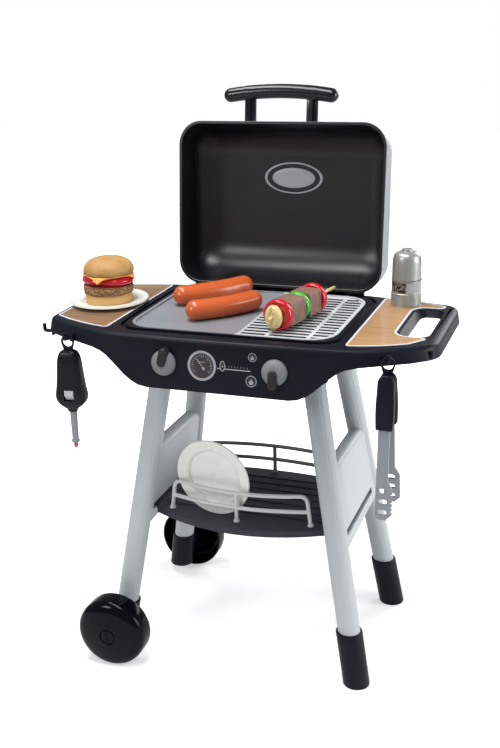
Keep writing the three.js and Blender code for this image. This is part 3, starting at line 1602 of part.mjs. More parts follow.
function slice(radius, length) {
  return revolve(sliceShares.map(([r, z]) => [radius * r, length * z]), largeSides - 4).rotateY(Math.PI / 2);
}

const meatLengthShares = [0.222, 0.178];
const meatBlock = (length) => prismX(
  rectangle(-meatSide / 2, meatSide / 2, -meatSide / 2, meatSide / 2, meatSide / 10, 2), 0, length,
);
const threadedPieces = [
  ['onion', slice(onionRadius, onionLength), onionLength, onionCream],
  ['pepper_front', slice(pepperRadius, pepperLength), pepperLength, redPlastic],
  ['meat_front', meatBlock(skewerLength * meatLengthShares[0]), skewerLength * meatLengthShares[0], meatBrown],
  ['green_pepper', slice(greenRadius, pepperLength), pepperLength, greenPlastic],
  ['meat_back', meatBlock(skewerLength * meatLengthShares[1]), skewerLength * meatLengthShares[1], meatBrown],
  ['pepper_back', slice(pepperRadius, pepperLength), pepperLength, redPlastic],
];
let threadedTo = 0;
for (const [name, geometry, length, material] of threadedPieces) {
  const seat = pivot(skewer, threadedTo, 0, 0);
  place(seat, name, threaded(geometry, length), material);
  threadedTo += length + skewerPitch;
}
const stick = roundBar(
  new THREE.LineCurve3(new Vec3(-stickTail, 0, 0), new Vec3(skewerLength, 0, 0)), stickRadius, smallSides, 1, 2,
);
place(skewer, 'skewer_stick', stick, stickWood);

// The origin moves to the middle of the footprint, on the floor
const bounds = new THREE.Box3().setFromObject(grill, true);
const centre = bounds.getCenter(new Vec3());
grill.position.set(-centre.x, -centre.y, 0);
grill.updateMatrixWorld(true);

export default grill;
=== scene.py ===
# Looks of the toy barbecue grill: smooth meshes, materials, prints, play food, camera and light.
import json
from math import atan, atan2, copysign, cos, exp, hypot, pi, radians, sin, sqrt, tan
import bmesh
import bpy
from mathutils import Matrix, Vector, noise


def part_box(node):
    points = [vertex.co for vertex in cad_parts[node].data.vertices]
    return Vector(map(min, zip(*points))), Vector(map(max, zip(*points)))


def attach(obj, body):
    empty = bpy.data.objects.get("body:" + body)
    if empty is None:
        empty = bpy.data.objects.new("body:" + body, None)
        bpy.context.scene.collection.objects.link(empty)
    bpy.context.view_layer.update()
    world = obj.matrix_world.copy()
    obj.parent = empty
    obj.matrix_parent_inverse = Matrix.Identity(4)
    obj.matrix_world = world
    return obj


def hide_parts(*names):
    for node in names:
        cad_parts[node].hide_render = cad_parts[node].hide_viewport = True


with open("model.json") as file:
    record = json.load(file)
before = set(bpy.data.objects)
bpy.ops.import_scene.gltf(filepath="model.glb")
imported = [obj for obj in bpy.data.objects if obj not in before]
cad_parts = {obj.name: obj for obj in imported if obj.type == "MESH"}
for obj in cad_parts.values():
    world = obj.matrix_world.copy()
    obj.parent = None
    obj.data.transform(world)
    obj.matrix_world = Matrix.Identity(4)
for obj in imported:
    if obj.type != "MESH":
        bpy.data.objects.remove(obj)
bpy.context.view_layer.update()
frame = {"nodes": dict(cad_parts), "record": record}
scene = bpy.context.scene

mm = 0.001

# Sizes in millimetres, in the CAD part's own axes
LID_HALF_WIDTH, LID_FRONT, LID_BACK, LID_CORNER = 147.1, -117.4, 108.4, 33
LID_HEIGHT, LID_FALL, LID_RIM = 82, 16.4, 466.5
SHELL_WALL, LINER_WALL, FLANGE, SEAT = 2.2, 1.6, 1.5, 0.3
SIDE_CROWN, BACK_CROWN, FRONT_CROWN, CROWN_LOSS = 33, 52, 40, 20
SIDE_DRAFT, FRONT_DRAFT = 0.035, 0.14
PIVOT_Y, PIVOT_Z, OPEN_DEGREES = 109.4, 471.7, 96.2
EAR_X, EAR_RADIUS = 109, 3.1
GRIP_LEFT, GRIP_MIDDLE, GRIP_RIGHT, GRIP_BOW = -88.7, -7.7, 73.2, 14
GRIP_Y, GRIP_Z, GRIP_RADIUS, COLLAR_RADIUS = LID_FRONT - 32.9, LID_RIM + 25, 9.6, 10.05
DECK_TOP, WOOD_TOP, COOKING_TOP = 468, 469.1, 467.8
WING_START, EDGE_RADIUS, LEAST_EDGE_RADIUS = 158, 7.5, 2.4
DECK_RIGHT, HOLE_LEFT, HOLE_RIGHT, HOLE_FRONT, HOLE_BACK = 256.5, 200, 250, -59, 65
LEG_REF_Z, LEG_REF_X, LEG_FOOT_X = 383.3, 106, 170.9
LEG_Y = {"front": (-69.4, -105.9), "back": (73, 114.4)}
LEG_RADIUS, LEG_TOP, SLEEVE_TOP, LEFT_LIFT = 14.5, 438, 76, 11
WHEEL_X, WHEEL_Z, WHEEL_FRONT_Y, WHEEL_BACK_Y = -157.5, 48.3, -139, 127.5
SHELF_TOP, RAIL_HEIGHT, RAIL_RADIUS, RAIL_END = 201, 41, 2.75, 98
KNOB_SPREAD, KNOB_SHIFT, KNOB_Z = 71.5, 3.5, 436
PANEL_NORMAL, PANEL_UP = Vector((0, -0.99276, 0.12009)), Vector((0, 0.12009, 0.99276))

CORNER_STEPS, DOME_STEPS = 10, 14

wheel_low, wheel_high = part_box("front_wheel")
SHIFT = Vector(((wheel_low.x + wheel_high.x) / 2 - WHEEL_X * mm, wheel_high.y - WHEEL_FRONT_Y * mm, 0))


shift = Matrix.Translation


def at(x, y, z):
    """A point of the CAD part's axes, in the row frame."""
    return Vector((x, y, z)) * mm + SHIFT


def placed(x, y, z, rotation=Matrix()):
    """A matrix from a piece's own millimetres to the row frame."""
    return shift(at(x, y, z)) @ rotation @ Matrix.Scale(mm, 4)


def rotate(angle, axis):
    return Matrix.Rotation(angle, 4, axis)


def turn(degrees, axis):
    return rotate(radians(degrees), axis)


PART = placed(0, 0, 0)
LID = placed(0, PIVOT_Y, PIVOT_Z, turn(-OPEN_DEGREES, "X")) @ shift((0, -PIVOT_Y, -PIVOT_Z))
PANEL = Matrix((Vector((1, 0, 0)), PANEL_UP, PANEL_NORMAL)).transposed().to_4x4()


# Materials

def colour(code):
    parts = [int(code[i : i + 2], 16) / 255 for i in (0, 2, 4)]
    return [c / 12.92 if c <= 0.04045 else ((c + 0.055) / 1.055) ** 2.4 for c in parts] + [1]


def wire(source, output, target, socket):
    """Links an output of one node to an input of another."""
    source.id_data.links.new(source.outputs[output], target.inputs[socket])


def add(tree, kind, **values):
    """A new shader node with its settings and inputs. An input is a value, or a node and its output."""
    node = tree.nodes.new("ShaderNode" + kind)
    for name, value in values.items():
        socket = name.replace("_", " ")
        if hasattr(node, name):
            setattr(node, name, value)
        elif isinstance(value, tuple) and isinstance(value[0], bpy.types.Node):
            wire(*value, node, socket)
        else:
            node.inputs[socket].default_value = value
    return node


def combine(tree, operation, *operands):
    """A sum of two operands. Each is a number, or a node and its output."""
    node = add(tree, "Math", operation=operation)
    for i, operand in enumerate(operands):
        if isinstance(operand, tuple):
            wire(*operand, node, i)
        else:
            node.inputs[i].default_value = operand
    return node, 0


def moulded_group():
    """Fine grain and a slow change of sheen and tone, which every moulding has."""
    tree = bpy.data.node_groups.new("Moulded surface", "ShaderNodeTree")
    for name in ("Roughness", "Change", "Grain", "Relief"):
        tree.interface.new_socket(name, in_out="INPUT", socket_type="NodeSocketFloat")
    for name, kind in (("Roughness", "Float"), ("Brightness", "Float"), ("Normal", "Vector")):
        tree.interface.new_socket(name, in_out="OUTPUT", socket_type="NodeSocket" + kind)
    given = tree.nodes.new("NodeGroupInput")
    out = tree.nodes.new("NodeGroupOutput")
    where = add(tree, "TexCoord"), "Object"
    broad = add(tree, "TexNoise", Scale=18, Detail=3, Vector=where), "Fac"
    fine = add(tree, "TexNoise", Scale=(given, "Grain"), Detail=2, Vector=where), "Fac"
    bump = add(tree, "Bump", Strength=(given, "Relief"), Distance=0.0004, Height=fine)
    centred = combine(tree, "SUBTRACT", broad, 0.5)
    change = combine(tree, "MULTIPLY", centred, (given, "Change"))
    tone = combine(tree, "MULTIPLY", centred, 0.06)
    wire(*combine(tree, "ADD", (given, "Roughness"), change), out, "Roughness")
    wire(*combine(tree, "ADD", tone, 1), out, "Brightness")
    wire(bump, "Normal", out, "Normal")
    return tree


MOULDED = moulded_group()


class Look:
    """One material: the shared surface, a Principled shader and its colour."""

    def __init__(self, name, code, roughness, relief=0.1, change=0.08, grain=400, shine=0.5, coat=0, metal=0):
        self.material = bpy.data.materials.new(name)
        self.material.use_nodes = True
        self.tree = self.material.node_tree
        shader = self.tree.nodes["Principled BSDF"]
        for key, value in (("Specular IOR Level", shine), ("Coat Weight", coat), ("Metallic", metal)):
            shader.inputs[key].default_value = value
        given = {"Roughness": roughness, "Change": change, "Grain": grain, "Relief": relief}
        surface = add(self.tree, "Group", node_tree=MOULDED, **given)
        self.scaled = add(self.tree, "VectorMath", operation="SCALE")
        self.show(add(self.tree, "RGB"), 0)
        self.colour[0].outputs[0].default_value = colour(code)
        wire(surface, "Brightness", self.scaled, "Scale")
        wire(self.scaled, 0, shader, "Base Color")
        wire(surface, "Roughness", shader, "Roughness")
        wire(surface, "Normal", shader, "Normal")
        self.where = add(self.tree, "TexCoord"), "Object"

    def show(self, *source):
        """Takes a node and its output as the colour."""
        self.colour = source
        wire(*source, self.scaled, 0)

    def tint(self, code, *factors):
        """Mixes another colour over what is there, by the product of its factors."""
        factor = factors[0]
        for other in factors[1:]:
            factor = combine(self.tree, "MULTIPLY", factor, other)
        mix = add(self.tree, "Mix", data_type="RGBA", Factor=factor, A=self.colour, B=colour(code))
        self.show(mix, "Result")

    def ramp(self, source, low, high):
        """A factor that runs from 0 to 1 as a value goes from low to high."""
        return add(self.tree, "MapRange", Value=source, From_Min=low, From_Max=high), "Result"

    def noise(self, scale, low, high, stretch=(1, 1, 1), detail=3):
        mapping = add(self.tree, "Mapping", Vector=self.where, Scale=stretch), "Vector"
        texture = add(self.tree, "TexNoise", Vector=mapping, Scale=scale, Detail=detail), "Fac"
        return self.ramp(texture, low, high)

    def along(self, axis, low, high):
        """A factor that runs from 0 to 1 along an axis of the row frame, in metres."""
        split = add(self.tree, "SeparateXYZ", Vector=self.where)
        return self.ramp((split, axis), low, high)


LOOKS = {
    "black": Look("Black plastic", "0b0e1a", 0.42, grain=900, shine=0.2),
    "liner": Look("Lid lining", "0c0c11", 0.36, 0.05, 0.12, grain=500, shine=0.58),
    "badge": Look("Badge silver", "b4b5bb", 0.35, 0.05),
    "gloss": Look("Gloss black plastic", "06070d", 0.12, 0.02, 0.04, shine=0.14),
    "grip_gloss": Look("Lid grip plastic", "0a0b11", 0.2, 0, 0.03, shine=0.45),
    "lighter": Look("Lighter plastic", "0e0f17", 0.34, 0.04, shine=0.22),
    "frame": Look("Silver grey plastic", "b7bdbf", 0.42, 0.06),
    "rail": Look("Rail plastic", "c9cdcb", 0.35, 0.05),
    # The back rail's grey is the front rail's grey darkened: painted shade.
    "rail_shaded": Look("Rail plastic, painted shade", "66696f", 0.4),
    "shelf": Look("Shelf plastic", "2b2e38", 0.45, grain=700, shine=0.3),
    "griddle": Look("Cooking plate plastic", "868b91", 0.3, change=0.1, grain=600),
    "shell": Look("Lid shell plastic", "a3a9ad", 0.35, 0.05),
    "arm": Look("Tongs plastic", "868c90", 0.4, 0.06),
    "silver_print": Look("Silver print", "9a9ba2", 0.4, 0.02),
    "band_print": Look("Dark print", "19191d", 0.4, 0.02),
    "dial_print": Look("Dial print", "2e272a", 0.45, 0.02),
    "border_print": Look("Border print", "d3d3da", 0.4, 0.02),
    "steel": Look("Steel wire", "9a9da2", 0.3, 0.02, metal=1),
    "dark_grip": Look("Grip plastic", "221f20", 0.5, shine=0.3),
    "skirt": Look("Speckled grey plastic", "76797b", 0.55, 0.2),
    "dish": Look("White dish plastic", "e6e7e1", 0.28, 0.02),
    "mill": Look("Silver paint", "a2a5a0", 0.36, 0.06, metal=0.6),
    "mill_band": Look("Label band", "7f7c7b", 0.25, 0.02),
    "red": Look("Glossy red plastic", "c80f26", 0.14, 0.03, 0.03, coat=0.4),
    "flesh": Look("Red flesh plastic", "a82a24", 0.3, 0.3),
    "tip": Look("Red tip plastic", "d04a33", 0.35),
    "green": Look("Glossy green plastic", "43a836", 0.14, 0.03, 0.03, coat=0.4),
    "bun": Look("Bun plastic", "aa7d44", 0.6, 0.3, grain=700),
    "crumb": Look("Bun crumb plastic", "d6ab6b", 0.5, 0.2, grain=700),
    "patty": Look("Patty plastic", "6e4a2a", 0.6, 0.5, grain=500),
    "meat": Look("Meat plastic", "8b6c5a", 0.55, 0.4, grain=500),
    "cheese": Look("Cheese plastic", "f0a94f", 0.35, 0.04),
    "sausage": Look("Sausage plastic", "c45a2b", 0.28, 0.04, 0.05, coat=0.15),
    "onion": Look("Onion plastic", "d9c58c", 0.3, 0.05),
    "stick": Look("Stick plastic", "ddc58f", 0.55),
    "wood": Look("Printed wood", "92734f", 0.42, 0.02, coat=0.15),
}


def tint_looks():
    """Speckles, grain and slow changes of colour over the plain looks, and painted shade on the cooking
    plate's slots, the right front leg and the lid shell's lower part.
    """
    for look, code, *pattern in (
        ("mill_band", "2c2022", 330, 0.43, 0.49, (1, 1, 1), 2),
        ("skirt", "5c5d5e", 1400, 0.56, 0.66, (1, 1, 1), 1),
        ("wood", "836549", 9, 0.35, 0.65, (0.25, 4, 1)),
        ("wood", "6f543c", 26, 0.52, 0.62, (0.16, 6, 1), 5),
        ("wood", "ab8d62", 70, 0.6, 0.75, (0.12, 6, 1), 4),
        ("patty", "b48a55", 420, 0.46, 0.62),
        ("meat", "5f453a", 300, 0.48, 0.62, (3, 3, 0.15)),
        ("bun", "b9915a", 40, 0.3, 0.7),
        ("flesh", "c9564a", 260, 0.45, 0.6),
        ("onion", "c8b070", 200, 0.5, 0.7, (0.3, 0.3, 2)),
    ):
        LOOKS[look].tint(code, LOOKS[look].noise(*pattern))
    griddle, silver, shell, wood = (LOOKS[name] for name in ("griddle", "frame", "shell", "wood"))
    griddle.tint("c6cbce", griddle.along("X", 0.0095, 0.0125))
    # Painted shade: the cooking plate turns near-black below its top face, so the grate's slot walls and
    # sides read as shaded.
    griddle.tint("0d0e11", griddle.along("Z", 0.4676, 0.4670))
    # Painted shade: the silver grey darkens on the right front leg's upper part, under the deck.
    shaded_right_front = silver.along("Y", -0.05, -0.07), silver.along("X", 0, 0.05)
    silver.tint("858c90", *shaded_right_front, silver.along("Z", 0.12, 0.40), 0.6)
    # Painted shade: the lid shell's grey darkens towards its lower part.
    shell.tint("7d8387", shell.along("Z", 0.62, 0.50), 0.7)
    LOOKS["mill_band"].tint("a3a4a8", LOOKS["mill_band"].along("X", 0.186, 0.1875))
    right_wing = wood.along("X", 0.13, 0.16)
    wood.tint("c99c6c", right_wing, 0.5)
    wood.tint("7d5c3c", right_wing, wood.noise(40, 0.5, 0.68, (0.14, 6, 1), 4), 0.5)


tint_looks()


# Meshes

def new_object(name, data):
    obj = bpy.data.objects.new(name, data)
    scene.collection.objects.link(obj)
    return obj


def put(thing, **values):
    for name, value in values.items():
        setattr(thing, name, value)


def new_mesh(name, bm):
    mesh = bpy.data.meshes.new(name)
    bm.to_mesh(mesh)
    bm.free()
    return mesh


def smooth_faces(bm):
    bmesh.ops.recalc_face_normals(bm, faces=bm.faces)
    for face in bm.faces:
        face.smooth = True


def finish_object(name, bm, looks, body, replaces=(), sharp=35, bevel=0.0):
    """Turns a bmesh in the row frame into a piece that rides on a body."""
    smooth_faces(bm)
    mesh = new_mesh(name, bm)
    mesh.set_sharp_from_angle(angle=radians(sharp))
    for look in looks:
        mesh.materials.append(LOOKS[look].material)
    obj = new_object(name, mesh)
    if bevel:
        modifier = obj.modifiers.new("Rounded edges", "BEVEL")
        put(modifier, width=bevel * mm, segments=2, limit_method="ANGLE", angle_limit=radians(40))
        modifier.harden_normals = True
    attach(obj, body)
    if replaces:
        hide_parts(*replaces)
    return obj


def dress(node, bm, *looks, sharp=35, bevel=0.0, slot=None):
    """Turns a bmesh into the piece that stands for a CAD node."""
    return finish_object("look_" + node, bm, looks, body_with(node), [node], sharp, bevel)


def body_with(node):
    bodies = frame["record"]["behaviour"]["bodies"]
    return next(body for body, nodes in bodies.items() if node in nodes)


def solid_of(node):
    """The CAD node's own solid, with its flat faces made whole."""
    bm = bmesh.new()
    bm.from_mesh(frame["nodes"][node].data)
    bm.transform(frame["nodes"][node].matrix_world)
    bmesh.ops.remove_doubles(bm, verts=bm.verts, dist=1e-6)
    bmesh.ops.dissolve_limit(bm, angle_limit=radians(0.4), verts=bm.verts, edges=bm.edges)
    return bm


def copied(look, *nodes, bevel=0.4, sharp=35):
    """The CAD nodes' own solids with their edges rounded."""
    for node in nodes:
        dress(node, solid_of(node), look, sharp=sharp, bevel=bevel)


def part_place(vert):
    """Where a vertex is in the CAD part's axes, in millimetres."""
    return (vert.co - SHIFT) / mm


def reshape(bm, move):
    """Moves vertices by a function of their place in the CAD part's axes."""
    for vert in bm.verts:
        vert.co = at(*move(*part_place(vert)))


def around(sides):
    """The cosine and sine of angles evenly round a circle."""
    angles = [2 * pi * k / sides for k in range(sides)]
    return [(cos(a), sin(a)) for a in angles]


def arc(x, y, radius, start, span, steps):
    """Points round a centre, from a start over a span in degrees."""
    angles = [radians(start + span * k / steps) for k in range(steps + 1)]
    return [(x + radius * cos(a), y + radius * sin(a)) for a in angles]


def circle(radius, sides, z):
    return [(radius * c, radius * s, z) for c, s in around(sides)]


def level(outline, z):
    return [(x, y, z) for x, y in outline]


def rounded_rectangle(x0, x1, y0, y1, radius, steps=CORNER_STEPS):
    left, right, low, high = x0 + radius, x1 - radius, y0 + radius, y1 - radius
    points = []
    for x, y, start in ((left, low, 180), (right, low, 270), (right, high, 0), (left, high, 90)):
        points += arc(x, y, radius, start, 90, steps)
    return points


def add_rings(bm, rings, matrix=Matrix(), ends="capped", material=0):
    """Joins rings of equally many points. The ends are capped, open or joined to each other."""
    rows = [[bm.verts.new(matrix @ Vector(p)) for p in ring] for ring in rings]
    count = len(rows[0])
    if ends == "joined":
        rows.append(rows[0])
    strips = []
    for a, b in zip(rows, rows[1:]):
        corners = [(i, (i + 1) % count) for i in range(count)]
        strips.append([bm.faces.new((a[i], a[j], b[j], b[i])) for i, j in corners])
    caps = [bm.faces.new(rows[0][::-1]), bm.faces.new(rows[-1])] if ends == "capped" else []
    for face in sum(strips, caps):
        face.material_index = material
    return strips


def ringed(rings, matrix=PART, ends="capped"):
    bm = bmesh.new()
    add_rings(bm, rings, matrix, ends)
    return bm


def smooth_profile(points, steps=4):
    """A curve through [radius, height] pairs. A pair given twice stays a sharp corner."""
    out = []
    for i in range(len(points) - 1):
        b, c = Vector(points[i]), Vector(points[i + 1])
        if (b - c).length < 1e-9:
            continue
        a = Vector(points[max(i - 1, 0)])
        d = Vector(points[min(i + 2, len(points) - 1)])
        for k in range(steps):
            t = k / steps
            curved = (2 * a - 5 * b + 4 * c - d) * t * t + (3 * b - a - 3 * c + d) * t ** 3
            out.append((2 * b + (c - a) * t + curved) / 2)
    out.append(Vector(points[-1]))
    return [(max(p[0], 0.01), p[1]) for p in out]


def lathe(bm, profile, matrix, sides=64, material=0):
    add_rings(bm, [circle(r, sides, z) for r, z in profile], matrix, material=material)


def turned(node, look, profile, matrix, sides=64, steps=4):
    bm = bmesh.new()
    lathe(bm, smooth_profile(profile, steps), matrix, sides)
    dress(node, bm, look)


def sweep(bm, points, radii, sides=24):
    """Round rings along points given in the row frame, radii in metres."""
    across = Vector((0, 0, 1))
    rings = []
    for i, point in enumerate(points):
        along = (points[min(i + 1, len(points) - 1)] - points[max(i - 1, 0)]).normalized()
        if abs(along.dot(across)) > 0.95:
            across = Vector((1, 0, 0)) if abs(along.x) < 0.9 else Vector((0, 1, 0))
        across = (across - along * across.dot(along)).normalized()
        up = along.cross(across)
        radius = radii[i] if isinstance(radii, list) else radii
        rings.append([point + across * radius * c + up * radius * s for c, s in around(sides)])
    add_rings(bm, rings)


def bezier(a, b, c, steps):
    return [a.lerp(b, k / steps).lerp(b.lerp(c, k / steps), k / steps) for k in range(steps + 1)]


def round_bar(bm, points, radius, sides=40, end_steps=8):
    """A bar along a fine line of points, with half-round ends."""
    lengths = [0.0]
    for a, b in zip(points, points[1:]):
        lengths.append(lengths[-1] + (b - a).length)
    total = lengths[-1]

    def where(s):
        for i in range(1, len(lengths)):
            if s <= lengths[i] or i == len(lengths) - 1:
                return points[i - 1].lerp(points[i], (s - lengths[i - 1]) / (lengths[i] - lengths[i - 1]))

    angles = [pi / 2 * (k + 0.4) / end_steps for k in range(end_steps)]
    ends = [(radius * (1 - cos(a)), radius * sin(a)) for a in angles]
    middle = [(radius + (total - 2 * radius) * k / 24, radius) for k in range(25)]
    stations = ends + middle + [(total - s, r) for s, r in reversed(ends)]
    sweep(bm, [where(s) for s, _ in stations], [r for _, r in stations], sides)


def subtract(obj, bm):
    """Cuts a tool, given as a bmesh in the row frame, out of a piece's mesh."""
    tool = new_object("tool", new_mesh("tool", bm))
    modifier = obj.modifiers.new("Cut", "BOOLEAN")
    put(modifier, operation="DIFFERENCE", solver="EXACT", object=tool)
    bpy.context.view_layer.update()
    result = bpy.data.meshes.new_from_object(obj.evaluated_get(bpy.context.evaluated_depsgraph_get()))
    obj.modifiers.remove(modifier)
    obj.data = result
    bpy.data.objects.remove(tool)


def add_to(piece, bm, sharp=35):
    """Adds one more closed body to a piece's mesh."""
    smooth_faces(bm)
    bm.from_mesh(piece.data)
    bm.to_mesh(piece.data)
    bm.free()
    piece.data.set_sharp_from_angle(angle=radians(sharp))


def block(x0, x1, y0, y1, z0, z1, matrix=PART):
    corners = [(x0, y0), (x1, y0), (x1, y1), (x0, y1)]
    bm = ringed([level(corners, z) for z in (z0, z1)], matrix)
    bmesh.ops.recalc_face_normals(bm, faces=bm.faces)
    return bm


# Lid

def dome_ring(wall, angle):
    """One ring of the closed lid, at an angle of its crown, drawn inwards by a wall."""
    opened = cos(angle)
    over = 1 - opened
    height = LID_HEIGHT - SIDE_CROWN * (1 - sin(angle))

    def inset(crown, draft):
        return wall * opened + draft * height + crown * over

    side = inset(SIDE_CROWN, SIDE_DRAFT)
    outline = rounded_rectangle(
        side - LID_HALF_WIDTH, LID_HALF_WIDTH - side,
        LID_FRONT + inset(FRONT_CROWN, FRONT_DRAFT), LID_BACK - inset(BACK_CROWN, SIDE_DRAFT),
        LID_CORNER - CROWN_LOSS * over - wall * opened,
    )
    points = []
    for i, (x, y) in enumerate(outline):
        corner, step = divmod(i, CORNER_STEPS + 1)
        sideways = cos(radians(180 + 90 * corner + 90 * step / CORNER_STEPS)) ** 2
        crown = sideways * SIDE_CROWN + (1 - sideways) * (FRONT_CROWN if corner < 2 else BACK_CROWN)
        z = LID_HEIGHT - crown * (1 - sin(angle)) - wall * sin(angle)
        fall = LID_FALL * (LID_BACK - y) / (LID_BACK - LID_FRONT) * z / LID_HEIGHT
        points.append((x, y, LID_RIM + z - fall))
    return points


def dome(wall):
    return [dome_ring(wall, pi / 2 * k / DOME_STEPS) for k in range(DOME_STEPS + 1)]


def rim_ring(inset, z):
    half = LID_HALF_WIDTH - inset
    outline = rounded_rectangle(-half, half, LID_FRONT + inset, LID_BACK - inset, LID_CORNER - inset)
    return level(outline, LID_RIM + z)


def build_lid():
    skin = SHELL_WALL + SEAT
    inner = skin + LINER_WALL
    low = FLANGE + SEAT
    rings = dome(0)[::-1] + [rim_ring(0, low), rim_ring(SHELL_WALL, low)] + dome(SHELL_WALL)
    shell = dress("lid_shell", ringed(rings, LID), "shell")
    notch = 13.8
    for x in (-EAR_X, EAR_X):
        sides = x - notch, x + notch, LID_BACK - 4, LID_BACK + 8, LID_RIM - 4, PIVOT_Z + 3.7
        subtract(shell, block(*sides, LID))
    shell.data.set_sharp_from_angle(angle=radians(35))
    outside = dome(skin)[::-1] + [rim_ring(skin, FLANGE), rim_ring(0.3, FLANGE), rim_ring(0, FLANGE - 0.4)]
    rim = [rim_ring(0, 0.5), rim_ring(0.5, 0), rim_ring(inner - 0.5, 0), rim_ring(inner, 0.5)]
    bm = ringed(outside + rim + dome(inner), LID)
    root = LID_BACK - skin - LINER_WALL / 2
    eye = arc(PIVOT_Y, PIVOT_Z, EAR_RADIUS, -90, 180, 12)
    ear = [(root, PIVOT_Z - EAR_RADIUS)] + eye + [(root, PIVOT_Z + EAR_RADIUS)]
    for x in (-EAR_X, EAR_X):
        add_rings(bm, [[(x + dx, y, z) for y, z in ear] for dx in (-9, 9)], LID)
    dress("lid_liner", bm, "liner")
    build_badge(inner)
    build_grip()
    for name in ("lid_handle_post_left", "lid_handle_post_right"):
        build_post(name)


def build_badge(inner):
    """An oval plate on the liner's crown, with a dark band between its rim and its middle."""
    crown = LID_HEIGHT - inner
    slope = LID_FALL * crown / LID_HEIGHT / (LID_BACK - LID_FRONT)
    above_hinge = 149.1
    y = PIVOT_Y - above_hinge
    z = LID_RIM + crown - slope * (LID_BACK - y) - SEAT
    seat = LID @ shift((1, y, z)) @ rotate(atan(slope), "X")
    shape = [(1, 0, 0), (1, -0.8, 0), (0.985, -1.5, 0), (0.95, -1.8, 0), (0.91, -1.7, 0), (0.9, -1, 1),
             (0.7, -1, 1), (0.69, -1.5, 0), (0.67, -1.75, 0), (0.4, -1.85, 0), (0.02, -1.85, 0)]
    rings = []
    for share, height, _ in shape:
        wide, deep = (45.15, 20.24) if share < 0.72 else (43, 22)
        rings.append([(share * wide * c, share * deep * s, height) for c, s in around(72)])
    bm = bmesh.new()
    for strip, (_, _, dark) in zip(add_rings(bm, rings, seat), shape[1:]):
        for face in strip:
            face.material_index = dark
    dress("lid_badge", bm, "badge", "band_print")


def build_post(name):
    """The solid post, its collar drawn close round the grip."""
    bm = solid_of(name)
    to_lid = LID.inverted()
    for vert in bm.verts:
        p = to_lid @ vert.co
        share = (p.x - GRIP_LEFT) / (GRIP_RIGHT - GRIP_LEFT)
        y = GRIP_Y - 2 * GRIP_BOW * share * (1 - share)
        spoke = Vector((0, p.y - y, p.z - GRIP_Z))
        if 9.9 < spoke.length < 14.5:
            vert.co = LID @ (Vector((p.x, y, GRIP_Z)) + spoke.normalized() * COLLAR_RADIUS)
    dress(name, bm, "grip_gloss", bevel=0.5)


def build_grip():
    ends = [Vector((x, GRIP_Y, GRIP_Z)) for x in (GRIP_LEFT, GRIP_RIGHT)]
    line = bezier(ends[0], Vector((GRIP_MIDDLE, GRIP_Y - GRIP_BOW, GRIP_Z)), ends[1], 40)
    bm = bmesh.new()
    round_bar(bm, [LID @ p for p in line], GRIP_RADIUS * mm, 48)
    dress("lid_handle_grip", bm, "grip_gloss")


# Stand

def leg_axis(side, end, z):
    share = (LEG_REF_Z - z) / LEG_REF_Z
    ref, foot = LEG_Y[end]
    return Vector((side * (LEG_REF_X + (LEG_FOOT_X - LEG_REF_X) * share), ref + (foot - ref) * share, z))


def leg_ring(side, end, z, radius, sides=56, fluted=False):
    """A level cut through a leaning round bar."""
    along = (leg_axis(side, end, 100) - leg_axis(side, end, 0)).normalized()
    u = Vector((0, 1, 0)).cross(along).normalized()
    v = along.cross(u)
    ring = []
    for k, (c, s) in enumerate(around(sides)):
        groove = 0.35 if fluted and k * 360 // sides % 90 in (36, 37, 38) else 0
        p = leg_axis(side, end, z) + (u * c + v * s) * (radius - groove)
        ring.append(p + along * ((z - p.z) / along.z))
    return ring


def bevelled_prism(bm, outline, depth, matrix, edge):
    """A plate of an outline, rounded along both faces."""
    count = len(outline)
    corners = [Vector(p) for p in outline]
    centre = sum(corners, Vector((0, 0))) / count

    def drawn_in(inset, z):
        ring = []
        for i, here in enumerate(corners):
            before = (here - corners[i - 1]).normalized()
            after = (corners[(i + 1) % count] - here).normalized()
            outward = Vector((before.y + after.y, -before.x - after.x)).normalized()
            if outward.dot(here - centre) < 0:
                outward = -outward
            ring.append((*(here - outward * inset), z))
        return ring

    angles = [pi / 2 * k / 4 for k in range(5)]
    edges = [(edge * (1 - sin(a)), depth / 2 - edge * (1 - cos(a))) for a in angles]
    low = [drawn_in(inset, -z) for inset, z in edges]
    high = [drawn_in(inset, z) for inset, z in reversed(edges)]
    add_rings(bm, low + high, matrix)


def build_side_frame(side, name):
    """A gusset with the slot of the shelf's tab, and two fluted legs."""
    lean = atan((LEG_FOOT_X - LEG_REF_X) / LEG_REF_Z)
    top, bottom, corner = 289, 177, 20
    low, high = ((z - LEG_REF_Z) / cos(lean) for z in (bottom, top))
    outline = [(leg_axis(side, "front", top).y, high), (leg_axis(side, "front", bottom).y, low)]
    outline += arc(leg_axis(side, "back", bottom).y + 5 - corner, low + corner, corner, 270, 90, 8)
    outline += arc(leg_axis(side, "back", top).y + 5 - corner, high - corner, corner, 0, 90, 8)
    axes = Matrix(((0, 0, 1, 0), (1, 0, 0, 0), (0, 1, 0, 0), (0, 0, 0, 1)))
    bm = bmesh.new()
    matrix = placed(side * LEG_REF_X, 0, LEG_REF_Z, rotate(-side * lean, "Y") @ axes)
    bevelled_prism(bm, outline, 22, matrix, 8)
    piece = dress(name, bm, "frame")
    slot_x = side * 137
    slot = block(slot_x - 30, slot_x + 30, -71.3, 66.3, 196, 205)
    subtract(piece, slot)
    bm = bmesh.new()
    foot = 4 + (LEFT_LIFT if side < 0 else 0)
    for end in ("front", "back"):
        add_rings(bm, [leg_ring(side, end, z, LEG_RADIUS, 120, True) for z in (foot, LEG_TOP)], PART)
    add_to(piece, bm)


